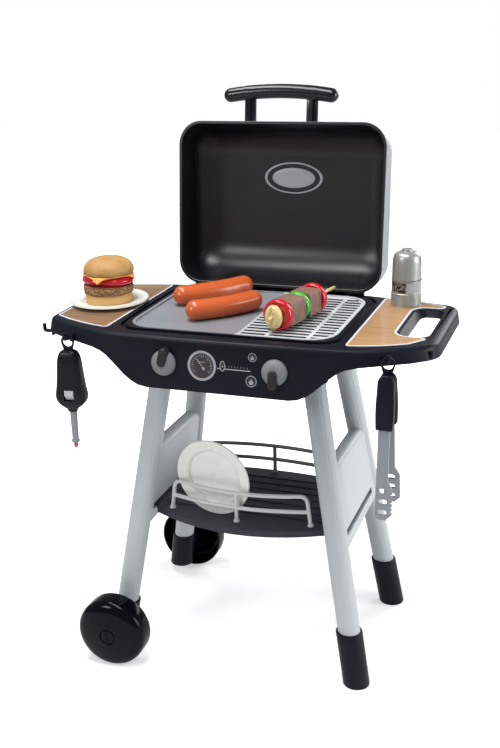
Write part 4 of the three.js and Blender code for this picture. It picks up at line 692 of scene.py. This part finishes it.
def build_foot(side, end):
    low = LEFT_LIFT if side < 0 else 0
    radius = LEG_RADIUS + SEAT + 2.55
    top = SLEEVE_TOP - (10 if side < 0 else 2)
    levels = [(low, radius - 1.2), (low + 0.5, radius - 0.4), (low + 1.4, radius), (top - 1.5, radius),
              (top - 0.4, radius - 0.3), (top, radius - 1), (top, LEG_RADIUS + 0.1)]
    bm = ringed([leg_ring(side, end, z, r) for z, r in levels])
    if side < 0:
        wheel_y = WHEEL_FRONT_Y + SEAT if end == "front" else WHEEL_BACK_Y - SEAT
        ends = [at(WHEEL_X, y, WHEEL_Z) for y in (leg_axis(-1, end, WHEEL_Z).y, wheel_y)]
        sweep(bm, ends, 9.5 * mm, 40)
    dress(end + ("_left_foot" if side < 0 else "_right_foot"), bm, "black")


def build_rail(name, end_y, mid_y, look, lean):
    """A bar and a lower bar on two posts that lean outwards and one in the middle."""
    foot = SHELF_TOP + SEAT
    bar = foot + RAIL_HEIGHT
    low = foot + RAIL_HEIGHT * 0.49
    bend = 9
    inner = RAIL_END - bend

    def p(x, y, z):
        return at(x - copysign(lean * (z - foot) / RAIL_HEIGHT, x) if x else 0, y, z)

    def bow(half, z):
        return bezier(p(-half, end_y, z), p(0, 2 * mid_y - end_y, z), p(half, end_y, z), 24)

    def post(x, inner_x):
        corner = bezier(p(x, end_y, bar - bend), p(x, end_y, bar), p(inner_x, end_y, bar), 8)
        return [p(x, end_y, foot)] + corner

    line = post(-RAIL_END, -inner) + bow(inner, bar)[1:-1] + post(RAIL_END, inner)[::-1]
    bm = bmesh.new()
    for points in (line, bow(RAIL_END, low), [p(0, mid_y, foot), p(0, mid_y, bar)]):
        sweep(bm, points, RAIL_RADIUS * mm)
    base = [(0.05, 0), (4.3, 0), (4.5, 0.5), (4.3, 1.6), (3.4, 3), (2.8, 4.2), (0.05, 4.4)]
    for x, y in ((-RAIL_END, end_y), (0, mid_y), (RAIL_END, end_y)):
        lathe(bm, base, placed(x, y, foot), 28)
    dress(name, bm, look)


def in_hole(x, y, over):
    return HOLE_LEFT - 5 < x < HOLE_RIGHT + over and HOLE_FRONT - 4 < y < HOLE_BACK + 4


def beside_hole(y):
    """1 along the carrying hole, down to 0 and less past its ends."""
    return min((y - HOLE_FRONT + 16) / 10, (HOLE_BACK + 16 - y) / 10, 1)


def hole_shift(x, y):
    """How far the carrying hole's left side is moved to the right."""
    return 4 * max(min(beside_hole(y), (x - 185) / 11, (236 - x) / 16), 0)


def wing_stretch(x, y):
    """The wings' plan: the left end a little longer, the right end's bar wider beside the hole."""
    if x < -200:
        share = min((-x - 200) / 35, 1)
        return x - 5 * share * share * (3 - 2 * share)
    x += hole_shift(x, y)
    bar = HOLE_LEFT + 12
    wide = min((x - bar) / (HOLE_RIGHT - bar), (DECK_RIGHT - x) / (DECK_RIGHT - HOLE_RIGHT))
    return x - 8.5 * max(beside_hole(y), 0) * max(wide, 0)


def rounded_wing_edge(vert):
    """How far a vertex of a wing's outer edge moves, so that the edge is round."""
    x, y, z = part_place(vert)
    out = Vector((vert.normal.x, vert.normal.y, 0))
    if abs(x) < WING_START or z < DECK_TOP - EDGE_RADIUS or in_hole(x, y, 2) or out.length < 0.15:
        return Vector()
    out.normalize()
    if out.dot(Vector((x - copysign(175, x), y, 0))) <= 0:
        return Vector()
    facing = max(-out.y, 0) if x < 0 else max(-out.y, 0.4 * out.x)
    share = min((abs(x) - WING_START) / 40, 1) * min(facing * 1.3, 1)
    radius = LEAST_EDGE_RADIUS + (EDGE_RADIUS - LEAST_EDGE_RADIUS) * share
    chamfer, steep = DECK_TOP - 3, DECK_TOP - 1
    drawn_in_cad = max(0, z - chamfer) / 2 if z <= steep else 1 + 2 * (z - steep)
    over = max(0, z - DECK_TOP + radius)
    wanted = radius - sqrt(max(radius * radius - over * over, 0))
    return out * (drawn_in_cad - wanted) * mm


def deck_place(x, y, z):
    """The wings' new plan, their underside a little higher and the hole's walls less deep."""
    wing, thick, hole_wall_foot = min(max((abs(x) - 165) / 20, 0), 1), 460, 456.6
    lift = wing * min(max(thick - z, 0), 14) * 0.3
    if in_hole(x, y, 3) and z < hole_wall_foot + 0.9:
        lift = hole_wall_foot - z
    return wing_stretch(x, y), y, z + lift


def build_deck():
    """The deck's solid, with round-over edges on the wings and a softer handle bar."""
    bm = solid_of("deck")
    for k in range(1, 8):
        height = DECK_TOP - EDGE_RADIUS * (1 - sin(pi / 2 * k / 8))
        geometry = bm.verts[:] + bm.edges[:] + bm.faces[:]
        bmesh.ops.bisect_plane(bm, geom=geometry, plane_co=at(0, 0, height), plane_no=(0, 0, 1), dist=1e-6)
    bm.normal_update()
    for vert, move in [(vert, rounded_wing_edge(vert)) for vert in bm.verts]:
        vert.co += move
    reshape(bm, deck_place)
    piece = dress("deck", bm, "black", bevel=0.5)
    lip_behind_lid = block(-114, 114, 118.6, 120.8, 466, 472.4)
    add_to(piece, lip_behind_lid)


def build_shelf():
    """The shelf's solid, the ends of its tabs drawn larger to fill the slots."""
    bm = solid_of("shelf")
    end = max(part_place(vert).x for vert in bm.verts)

    tab, under, foot, drawn_foot, taller, longer = 6, 199, 194.65, 200.5, 1.6, 15

    def drawn(x, y, z):
        if abs(x) > end - tab and z < under:
            return x, y - longer if y < 0 else y, drawn_foot + (z - foot) * taller
        return x, y, z

    reshape(bm, drawn)
    dress("shelf", bm, "shelf", bevel=0.5)
    build_rail("front_rail", -68, -82.5, "rail", 5)
    # The back rail takes the darker copy of the rail grey, which is painted shade.
    build_rail("back_rail", 73, 84, "rail_shaded", 3)


def build_hooks():
    copied("black", "hook_left_front", "hook_right_front", bevel=0.2, sharp=50)
    thicker, lower = 0.6, 1.5
    bm = solid_of("hook_left_end")
    bm.normal_update()
    for vert in bm.verts:
        vert.co += vert.normal * thicker * mm - Vector((0, 0, lower * mm))
    dress("hook_left_end", bm, "black", sharp=50)
    bm = solid_of("hook_right_corner")
    middle = sum((v.co for v in bm.verts), Vector()) / len(bm.verts)
    out = (middle - at(190, 0, 0)).to_2d().normalized().to_3d()
    near = min(v.co.dot(out) for v in bm.verts)
    shorter, move = 0.4, Vector((-11, -4.5, -1)) * mm
    for vert in bm.verts:
        vert.co += move - out * shorter * (vert.co.dot(out) - near)
    dress("hook_right_corner", bm, "black", sharp=50, bevel=0.2)


def build_stand():
    build_deck()
    for side, name in ((-1, "left_side_frame"), (1, "right_side_frame")):
        build_side_frame(side, name)
    for side in (1, -1):
        for end in ("front", "back"):
            build_foot(side, end)
    build_shelf()
    build_hooks()
    copied("steel", "hinge_pin_left", "hinge_pin_right", bevel=0)
    copied("gloss", "front_axle_pin", "back_axle_pin", bevel=0.3)


def build_wheels():
    profile = [
        (47.2, 0), (48.1, 0.4), (48.3, 1.4), (48.3, 20), (47.6, 24), (45.4, 27.6), (41, 30.6), (34, 32.7),
        (24, 34.6), (14, 35.8), (11.5, 36), (11.3, 35.6), (11.2, 33), (5.4, 33), (5.3, 0.6), (10, 0.6),
        (10.3, 1), (10.3, 29), (29, 31), (40, 27), (44.6, 22), (45.3, 18), (45.3, 1), (45.6, 0.3), (46.2, 0),
    ]
    for name, y, degrees in (("front_wheel", WHEEL_FRONT_Y, 90), ("back_wheel", WHEEL_BACK_Y, -90)):
        matrix = placed(WHEEL_X, y, WHEEL_Z, turn(degrees, "X"))
        dress(name, ringed([circle(r, 96, z) for r, z in profile], matrix, "joined"), "gloss", sharp=40)


# Prints

def build_wood_panel(node):
    """A flat panel with a printed border round its top."""
    bm = solid_of(node)
    bmesh.ops.recalc_face_normals(bm, faces=bm.faces)
    top = max(bm.faces, key=lambda f: f.calc_center_median().z + f.calc_area())
    reshape(bm, lambda x, y, z: (wing_stretch(x, y) if x < 0 else x + hole_shift(x, y), y, z))
    bmesh.ops.inset_region(bm, faces=[top], thickness=2.6 * mm, use_even_offset=True)
    top.material_index = 1
    dress(node, bm, "border_print", "wood", slot="wood_print")


def on_panel(x, z, lift=0):
    """A point of the control panel, a little in front of it."""
    y = -135.5 - 7.5 * (465 - z) / 62
    return at(x, y, z) + PANEL_NORMAL * lift * mm


def knob_x(side):
    return side * KNOB_SPREAD + KNOB_SHIFT


def disc(x, z, radius, sides=48, tall=1):
    return [(x + radius * c, z + radius * tall * s) for c, s in around(sides)]


def stroke(x0, z0, x1, z1, width):
    along = Vector((x1 - x0, z1 - z0)).normalized() * width / 2
    dx, dz = -along.y, along.x
    return [(x0 + dx, z0 + dz), (x0 - dx, z0 - dz), (x1 - dx, z1 - dz), (x1 + dx, z1 + dz)]


def flame(x, z, size):
    shape = [(0, -1), (0.55, -0.75), (0.75, -0.2), (0.5, 0.25), (0.42, -0.05), (0.2, 0.5), (-0.05, 1),
             (-0.12, 0.35), (-0.4, 0.1), (-0.45, 0.4), (-0.72, -0.15), (-0.55, -0.75)]
    return [(x + size * u, z + size * v) for u, v in shape]


def build_panel_print():
    """The thermometer, the lever's scale and two flames, each mark a thin face in front of the last."""
    light, dial, dark = 0, 1, 2
    bm = bmesh.new()

    def mark(points, lift, material=light):
        bm.faces.new([bm.verts.new(on_panel(x, z, lift)) for x, z in points]).material_index = material

    x, z = -18.2, 436.2
    mark(disc(x, z, 18.5, 72), 0.12)
    mark(disc(x, z, 15.4, 72), 0.18, dark)
    mark(disc(x, z, 14.6, 72), 0.24, dial)
    for i in range(25):
        angle = radians(-40 + 260 * i / 24)
        c, s = cos(angle), sin(angle)
        outer, inner = 13.4, 13.4 - (3.4 if i % 4 == 0 else 1.7)
        mark(stroke(x + outer * c, z + outer * s, x + inner * c, z + inner * s, 0.6), 0.3)
    mark(stroke(x + 1.6, z - 2.6, x - 6.6, z + 7.8, 0.9), 0.34)
    mark(disc(x + 2.4, z - 3.4, 1.7, 24), 0.38)
    for i in range(5):
        mark(stroke(x - 3 + 1.6 * i, z + 4.5, x - 2 + 1.6 * i, z + 4.5, 1.2), 0.3)
    mark(stroke(1.5, 434.6, 44.5, 434.6, 1.3), 0.16)
    for i in range(8):
        mark(stroke(12.5 + 4 * i, 437, 12.5 + 4 * i, 438.8, 0.5), 0.16)
    mark(disc(8.5, 438, 3.4, 32, 1.9), 0.2)
    mark(disc(8.5, 438, 2.5, 32, 2.1), 0.24, dark)
    mark(flame(8.5, 438, 1.5), 0.28)
    for x, z, radius in ((46.5, 451.5, 5.3), (45.5, 422.5, 7)):
        mark(disc(x, z, radius), 0.16)
        mark(disc(x, z, radius * 0.87), 0.2, dark)
        mark(flame(x, z - radius * 0.05, radius * 0.6), 0.24)
    piece = finish_object("print_panel", bm, ["silver_print", "dial_print", "band_print"], "stand")


def build_panel_dots():
    """The raised dots round each knob."""
    bm = bmesh.new()
    for side, turns in ((-1, (60, 90, 120, -100)), (1, (0, 45, 90, -100))):
        for degrees in turns:
            [(x, z), _] = arc(knob_x(side), KNOB_Z, 21.5, degrees - 10 * side, 0, 1)
            matrix = shift(on_panel(x, z)) @ PANEL @ Matrix.Scale(mm, 4)
            lathe(bm, [(1.5, -0.3), (1.5, 0.15), (1.1, 0.5), (0.05, 0.6)], matrix, 20)
    piece = finish_object("panel_dots", bm, ["black"], "stand")


def build_knobs():
    skirt = [
        (4, -6.9), (4, -6.9), (4, 0.3), (4, 0.3), (15.7, 0.3), (15.7, 0.3), (16, 0.8), (16, 2.6), (15.6, 4),
        (14.2, 6.2), (10.8, 8.8), (5.6, 10), (0.05, 10.1),
    ]
    grip_levels = [(1, 0), (4.3, 0), (8.5, 0), (11.4, 0.25), (12.6, 0.9), (13.3, 2.1), (13.5, 3.4)]
    half, front, back = 5.75, -4, 20
    for side, name, degrees in ((-1, "left_knob", -10), (1, "right_knob", 180)):
        place = shift(on_panel(knob_x(side), KNOB_Z))
        matrix = place @ PANEL @ turn(degrees, "Z") @ Matrix.Scale(mm, 4)
        turned(name + "_skirt", "skirt", skirt, matrix, 72, steps=3)
        rings = []
        for z, inset in grip_levels:
            radius = half - inset
            outline = arc(0, back - half, radius, 0, 180, 32) + arc(0, front + half, radius, 180, 180, 32)
            rings.append(level(outline, z))
        dress(name + "_grip", ringed(rings, matrix), "dark_grip")


# Food

def build_dish(node, matrix, *radii):
    """A dish of radii from the middle of its underside round the rim to the middle of its top."""
    heights = 0, 0, 0.2, 2.4, 3.2, 4.7, 5.5, 6.2, 7.1, 7.1, 5.7, 5, 2.9, 2.3, 2.2
    turned(node, "dish", list(zip((0.05, *radii, 0.05), heights)), matrix, 96, steps=3)


def build_burger():
    """The plate and the layers of the burger, each seated on the one below."""
    x, y, z = -203, -10, WOOD_TOP + SEAT
    radii = 33, 34.6, 38, 40, 52.6, 53.3, 53.5, 52.9, 52, 41, 38.6, 36, 34.2
    build_dish("burger_plate", placed(x, y, z), *radii)
    z += 2.2 + SEAT
    bottom = [(0.05, 0), (28.6, 0), (30.8, 0.9), (31.5, 3.5), (31.5, 9), (30.5, 11.9), (28.7, 13), (0.05, 13)]
    turned("bottom_bun", "crumb", bottom, placed(x, y, z), 72)
    for build, below in ((build_patty, 13), (build_tomato, 11.5), (build_cheese, 10), (build_top_bun, 2.6)):
        z += below + SEAT
        build(x, y, z)


def build_patty(x, y, z):
    top = 11.5
    shape = [(0.05, 0), (30, 0), (32.6, 1.4), (33.6, 4), (33.6, 8), (32.7, 10.3), (30.5, top), (0.05, top)]
    rings = []
    for r, h in smooth_profile(shape, 8):
        ring = []
        for px, py, _ in circle(r, 150, h):
            p = Vector((px, py, h))
            bump = noise.noise(p * 0.55) * 0.9 + noise.noise(p * 1.3) * 0.5 if r > 26 else 0
            ring.append((p.x * (1 + bump / 40), p.y * (1 + bump / 40), min(max(h, 0), top)))
        rings.append(ring)
    dress("patty", ringed(rings, placed(x, y, z)), "patty")


def build_tomato(x, y, z):
    slice_shape = [(0.05, 0), (21, 0), (25.8, 2.2), (27.8, 6), (25.8, 9.8), (21, 12), (0.05, 12)]
    bm = bmesh.new()
    for px, py in arc(x, y, 8, -2, 180, 1):
        lathe(bm, smooth_profile(slice_shape), placed(px, py, z))
    dress("tomato", bm, "red")


def build_cheese(x, y, z):
    """A square slice that bends down where it hangs over the tomato."""
    count, side, fold, bend = 40, 61.5, 36, radians(68)
    heading = radians(49)
    left_limit = -31

    def point(u, v, h):
        px = u * cos(heading) - v * sin(heading)
        py = u * sin(heading) + v * cos(heading)
        px = max(px, left_limit + (px - left_limit) * 0.3)
        reach = hypot(px, py)
        over = max(reach - fold + 2, 0)
        over = over * over / (over + 3)
        scale = (reach - over + over * cos(bend)) / reach if reach else 1
        return Vector((px * scale, py * scale, h - over * sin(bend)))

    bm = bmesh.new()
    matrix = placed(x, y, z)
    steps = [side * (i / count - 0.5) for i in range(count + 1)]
    low, high = [[[bm.verts.new(matrix @ point(u, v, h)) for v in steps] for u in steps] for h in (2.1, 4.2)]
    for grid in (low, high):
        for i in range(count):
            for j in range(count):
                bm.faces.new((grid[i][j], grid[i + 1][j], grid[i + 1][j + 1], grid[i][j + 1]))
    for k in range(count):
        for i, j, di, dj in ((k, 0, 1, 0), (k, count, 1, 0), (0, k, 0, 1), (count, k, 0, 1)):
            bm.faces.new((low[i][j], low[i + di][j + dj], high[i + di][j + dj], high[i][j]))
    dress("cheese", bm, "cheese", sharp=50, bevel=0.5)


def build_top_bun(x, y, z):
    """A dome with seeds laid out in a spiral."""
    x += 1.8
    height, seeds, golden_angle = 23.5, 130, 2.39996
    shape = [(0.05, 2.2), (30.5, 2.2), (33.2, 2.9), (34, 4.8), (33.8, 8), (31.8, 13), (27, 17.8), (20, 21),
             (11, 22.9), (0.05, height)]
    seed = [(0.3, -0.5), (1, 0), (0.8, 0.35), (0.1, 0.5)]
    bm = bmesh.new()
    lathe(bm, smooth_profile(shape, 5), placed(x, y, z), 96)
    noise.seed_set(7)
    for k in range(seeds):
        share = sqrt((k + 0.5) / seeds)
        spin = noise.random() * 3
        where = Vector((27 * share, 0, height - 6.2 * share ** 2.3 - 0.35)) * mm
        rotation = rotate(k * golden_angle, "Z") @ shift(where)
        matrix = placed(x, y, z, rotation @ turn(26 * share, "Y") @ turn(60 * spin, "Z"))
        lathe(bm, seed, matrix @ Matrix.Diagonal((1.5, 0.9, 1, 1)), 8)
    dress("top_bun", bm, "bun", sharp=50)


def build_sausages():
    radius = 13.4
    z = COOKING_TOP + SEAT + radius
    for name, x0, y0, x1, y1 in (("sausage_back", -112, 0, -34, 90), ("sausage_front", -68, -65, 4.5, 16.5)):
        start, end = Vector((x0, y0, z)), Vector((x1, y1, z))
        across = Vector((y1 - y0, x0 - x1, 0)).normalized() * 16
        line = [at(*p) for p in bezier(start, (start + end) / 2 + across, end, 40)]
        bm = bmesh.new()
        round_bar(bm, line, radius * mm, 56, 12)
        dress(name, bm, "sausage")


def build_skewer():
    x0, y0, x1, y1 = 56, -92, 91.5, 73
    length = hypot(x1 - x0, y1 - y0)
    heading = rotate(atan2(y1 - y0, x1 - x0), "Z")
    z = COOKING_TOP + SEAT + 20

    def seat(along):
        """Pieces are turned about their own Z, which lies along the stick here."""
        return placed(x0, y0, z, heading @ shift((along * mm, 0, 0)) @ turn(90, "Y"))

    def ring_slice(name, along, radius, look, heart):
        wide = 10
        hub = radius * 0.72
        shape = [(hub, 1.4), (radius * 0.86, 0.2), (radius * 0.97, wide * 0.14), (radius, wide / 2),
                 (radius * 0.97, wide * 0.86), (radius * 0.86, wide - 0.2), (hub, wide - 1.4)]
        core = [(2.3, 1.1), (hub + 0.5, 1.3), (hub + 0.5, wide - 1.3), (2.3, wide - 1.1)]
        bm = bmesh.new()
        lathe(bm, smooth_profile(shape, 5), seat(along), 72)
        lathe(bm, core, seat(along), 48, 1)
        dress(name, bm, look, heart)

    shape = [(2.3, 0.8), (8, 0), (13, 1.2), (15.5, 6), (13, 10.8), (8, 12), (2.3, 11.2)]
    rings = []
    for r, h in smooth_profile(shape):
        ring = []
        for px, py, _ in circle(r, 72, h):
            bow = py - 2.2 * cos(px / 7)
            groove = 2.2 * exp(-((bow / 1.7) ** 2)) * min(r / 6, 1)
            ring.append((px, py * 0.74, h + (groove if h < 6 else -groove)))
        rings.append(ring)
    dress("onion", ringed(rings, seat(0)), "onion")
    first = 12.4
    second = first + 10.4 + length * 0.222 + 0.4
    third = second + 10.4 + length * 0.178 + 0.4
    ring_slice("pepper_front", first, 20, "red", "flesh")
    ring_slice("green_pepper", second, 18, "green", "green")
    copied("meat", "meat_front", "meat_back", bevel=1.2)
    ring_slice("pepper_back", third, 20, "red", "flesh")
    bm = bmesh.new()
    line = [placed(x0, y0, z, heading) @ Vector((s, 0, 0)) for s in (-6, length)]
    round_bar(bm, line, 2 * mm, 20, 4)
    dress("skewer_stick", bm, "stick")


# Things that hang and stand

def build_mill():
    matrix = placed(186.5, 81, WOOD_TOP + SEAT)
    body = [
        (0.05, 0), (18.4, 0), (19.7, 0.5), (20, 1.6), (20, 1.6), (19.9, 16.6), (19.9, 16.6), (19.2, 17.2),
        (19.1, 18), (19.1, 18), (19.1, 31.6), (19.1, 31.6), (19.1, 33.4), (19.1, 33.4), (18.8, 34),
        (0.05, 34),
    ]
    cap = [
        (0.05, 34.3), (18.8, 34.3), (18.8, 34.3), (19.1, 34.9), (19.1, 36), (19, 45), (18.8, 56),
        (18.4, 60.4), (17.3, 65), (14.6, 68.7), (10.4, 70.6), (7.6, 71), (7.6, 71), (7, 71.5), (7, 73),
        (6, 74), (0.05, 74),
    ]
    turned("mill_body", "mill", body, matrix, 80)
    turned("mill_cap", "mill", cap, matrix, 80)
    bm = ringed([circle(19.25, 80, h) for h in (18.8, 31.4)], matrix, "open")
    piece = finish_object("print_mill", bm, ["mill_band"], "mill")


def build_shelf_plate():
    """A plate that stands on the shelf and leans on the front rail."""
    x, radius, thickness = -36, 54, 7.2
    bow = 14.5 / 89 ** 2
    lean = radians(4)
    face = -82.5 + bow * (x ** 2 + radius ** 2) + RAIL_RADIUS + SEAT
    y = face + RAIL_HEIGHT * tan(lean)
    spin = rotate(atan(2 * bow * x), "Z") @ rotate(lean, "X")
    upright = shift((0, 0, radius)) @ turn(90, "X") @ shift((0, 0, -thickness))
    radii = 34, 35.5, 38.5, 40.5, 53, 53.8, radius, 53.4, 52.5, 41.5, 39.2, 36.6, 34.8
    build_dish("shelf_plate", placed(x, y, SHELF_TOP + 2 * SEAT, spin) @ upright, *radii)


def hanging_ring(bm, matrix, foot, waist):
    """A flat ring whose lower half widens into a link."""
    outer, inner, half = 8.9, 6.5, 1.1
    outline = []
    for c, s in around(64):
        if s >= 0:
            outline.append((outer * c, outer * s))
        else:
            x = waist * copysign(abs(c) ** 0.45, c) * (1 + (outer / waist - 1) * (1 + s) ** 2)
            outline.append((x, -foot * abs(s) ** 0.9))
    hole = [(inner * c, inner * s) for c, s in around(64)]
    loops = ((outline, -half), (outline, half), (hole, half), (hole, -half))
    add_rings(bm, [[(x, y, z) for x, z in loop] for loop, y in loops], matrix, "joined")


def build_tongs_grip(name, tilt, middle):
    """A cover with round shoulders and slightly full sides. The front one carries the ring."""
    hang = placed(207.97, -128.04, 442, turn(tilt, "X"))
    half = 10.2
    outline = [(-8.9, -66), (8.9, -66)]
    for k in range(17):
        share = k / 16
        outline.append((half + 0.9 * sin(pi * min(share * 1.1, 1)), -64.5 + 51 * share))
    for k in range(1, 16):
        angle = pi * k / 16
        c = cos(angle)
        outline.append((half * copysign(abs(c) ** 0.75, c), -13.5 + 13.5 * sin(angle) ** 0.8))
    outline += [(-x, z) for x, z in outline[18:1:-1]]
    axes = Matrix(((1, 0, 0, 0), (0, 0, -1, middle), (0, 1, 0, 0), (0, 0, 0, 1)))
    bm = bmesh.new()
    bevelled_prism(bm, outline, 9, hang @ axes, 2.2)
    if middle < 0:
        hanging_ring(bm, hang @ shift((0, 0, 12)) @ turn(6, "X"), 14, 6.5)
    dress(name, bm, "black", sharp=50)


def build_lighter():
    hang = placed(-205.46, -129.46, 449, turn(5, "Z"))
    shares = [
        (0, 0.36, 0.5), (1.2, 0.46, 0.6), (3.5, 0.57, 0.72), (9, 0.68, 0.84), (18, 0.75, 0.9),
        (36, 0.83, 0.94), (48.5, 0.9, 0.97), (56, 0.965, 1), (62, 1, 1), (68, 0.93, 0.96),
        (73, 0.75, 0.86), (77.5, 0.47, 0.66), (80, 0.33, 0.5), (82.4, 0.3, 0.5), (83, 0.27, 0.45),
    ]
    wide = smooth_profile([(20.5 * a, -11 - down) for down, a, _ in shares], 3)
    deep = smooth_profile([(11 * b, -11 - down) for down, _, b in shares], 3)
    rings = []
    for (a, z), (b, _) in zip(wide, deep):
        rings.append(level(rounded_rectangle(-a, a, -b, b, min(a, b) * 0.6, 8), z))
    piece = dress("lighter_body", ringed(rings, hang), "lighter", sharp=50)
    window = block(-7, 7, -14, 3.5, -77.6, -62.6, hang)
    subtract(piece, window)
    bm = bmesh.new()
    hanging_ring(bm, hang, 13.5, 7)
    add_to(piece, bm, 50)
    bm = solid_of("lighter_trigger")
    bmesh.ops.translate(bm, verts=bm.verts, vec=(0, 0, 2.9 * mm))
    dress("lighter_trigger", bm, "frame", bevel=1.2)


def build_tools():
    copied("arm", "tongs_front_arm", "tongs_back_arm", bevel=0.5)
    build_tongs_grip("tongs_front_grip", -6, -4.65)
    build_tongs_grip("tongs_back_grip", 8, 4.65)
    build_lighter()
    copied("arm", "lighter_barrel", bevel=0.3)
    copied("tip", "lighter_tip", bevel=0.2)


# Camera, light and floor

def area(name, location, size, power, tall=None):
    """A rectangular lamp that faces the middle of the grill."""
    data = bpy.data.lights.new(name, "AREA")
    put(data, shape="RECTANGLE", size=size, size_y=tall or size, energy=power)
    lamp = new_object(name, data)
    lamp.location = location
    lamp.rotation_euler = (at(0, 0, 350) - Vector(location)).to_track_quat("-Z", "Y").to_euler()


def floor_material():
    """White to the camera, and whiter still far from the object, so that only soft shadows show."""
    material = bpy.data.materials.new("Studio floor")
    material.use_nodes = True
    tree = material.node_tree
    tree.nodes.clear()
    length = add(tree, "VectorMath", operation="LENGTH", Vector=(add(tree, "TexCoord"), "Object"))
    far = add(
        tree, "MapRange", interpolation_type="SMOOTHSTEP", Value=(length, "Value"),
        From_Min=0.25, From_Max=0.75, To_Min=0.42, To_Max=1,
    )
    camera_ray = add(tree, "LightPath"), "Is Camera Ray"
    strength = combine(tree, "MULTIPLY", (far, "Result"), camera_ray)
    both = add(tree, "AddShader")
    wire(add(tree, "BsdfDiffuse", Color=colour("ececec")), 0, both, 0)
    wire(add(tree, "Emission", Color=(1, 1, 1, 1), Strength=strength), 0, both, 1)
    wire(both, 0, add(tree, "OutputMaterial"), "Surface")
    return material


def build_world():
    """White behind the object, and a softer grey light from all round."""
    world = bpy.data.worlds.new("Studio")
    scene.world = world
    world.use_nodes = True
    tree = world.node_tree
    tree.nodes.clear()
    mix = add(tree, "MixShader")
    wire(add(tree, "LightPath"), "Is Camera Ray", mix, 0)
    wire(add(tree, "Background", Color=colour("fafbff"), Strength=0.29), 0, mix, 1)
    wire(add(tree, "Background", Color=(1, 1, 1, 1), Strength=1), 0, mix, 2)
    wire(mix, 0, add(tree, "OutputWorld"), 0)


def build_camera():
    """The photograph's camera: its focal length and centre, in pixels, as a lens and shifts."""
    width, height, focal, centre_x, centre_y = 500, 748, 1075, 233.78, 391.91
    data = bpy.data.cameras.new("camera")
    put(data, sensor_width=36, lens=focal / height * 36, clip_start=0.05)
    put(data, shift_x=(width / 2 - centre_x) / height, shift_y=(centre_y - height / 2) / height)
    camera = new_object("camera", data)
    camera.location = at(451.34, -1285.99, 850.28)
    camera.rotation_euler = [radians(a) for a in (70.0661, 1.5918, 19.9312)]
    bpy.context.scene.camera = camera


def build_studio():
    scene.view_settings.view_transform = "Standard"
    build_world()
    bm = bmesh.new()
    bmesh.ops.create_grid(bm, x_segments=1, y_segments=1, size=6)
    floor = new_object("floor", new_mesh("floor", bm))
    floor.data.materials.append(floor_material())
    area("overhead", (-0.25, -0.25, 1.95), 1.7, 31, tall=0.5)
    area("key", (-1.2, -1.9, 1.5), 0.7, 19)
    area("fill", (2.3, 0.2, 0.9), 1.2, 36)
    area("back", (0.9, 1.9, 1.3), 1.2, 20)
    build_camera()


build_stand()
build_lid()
copied("griddle", "cooking_plate")
build_wood_panel("left_wood_panel")
build_wood_panel("right_wood_panel")
build_panel_print()
build_panel_dots()
build_knobs()
build_wheels()
build_burger()
build_sausages()
build_skewer()
build_mill()
build_shelf_plate()
build_tools()
build_studio()
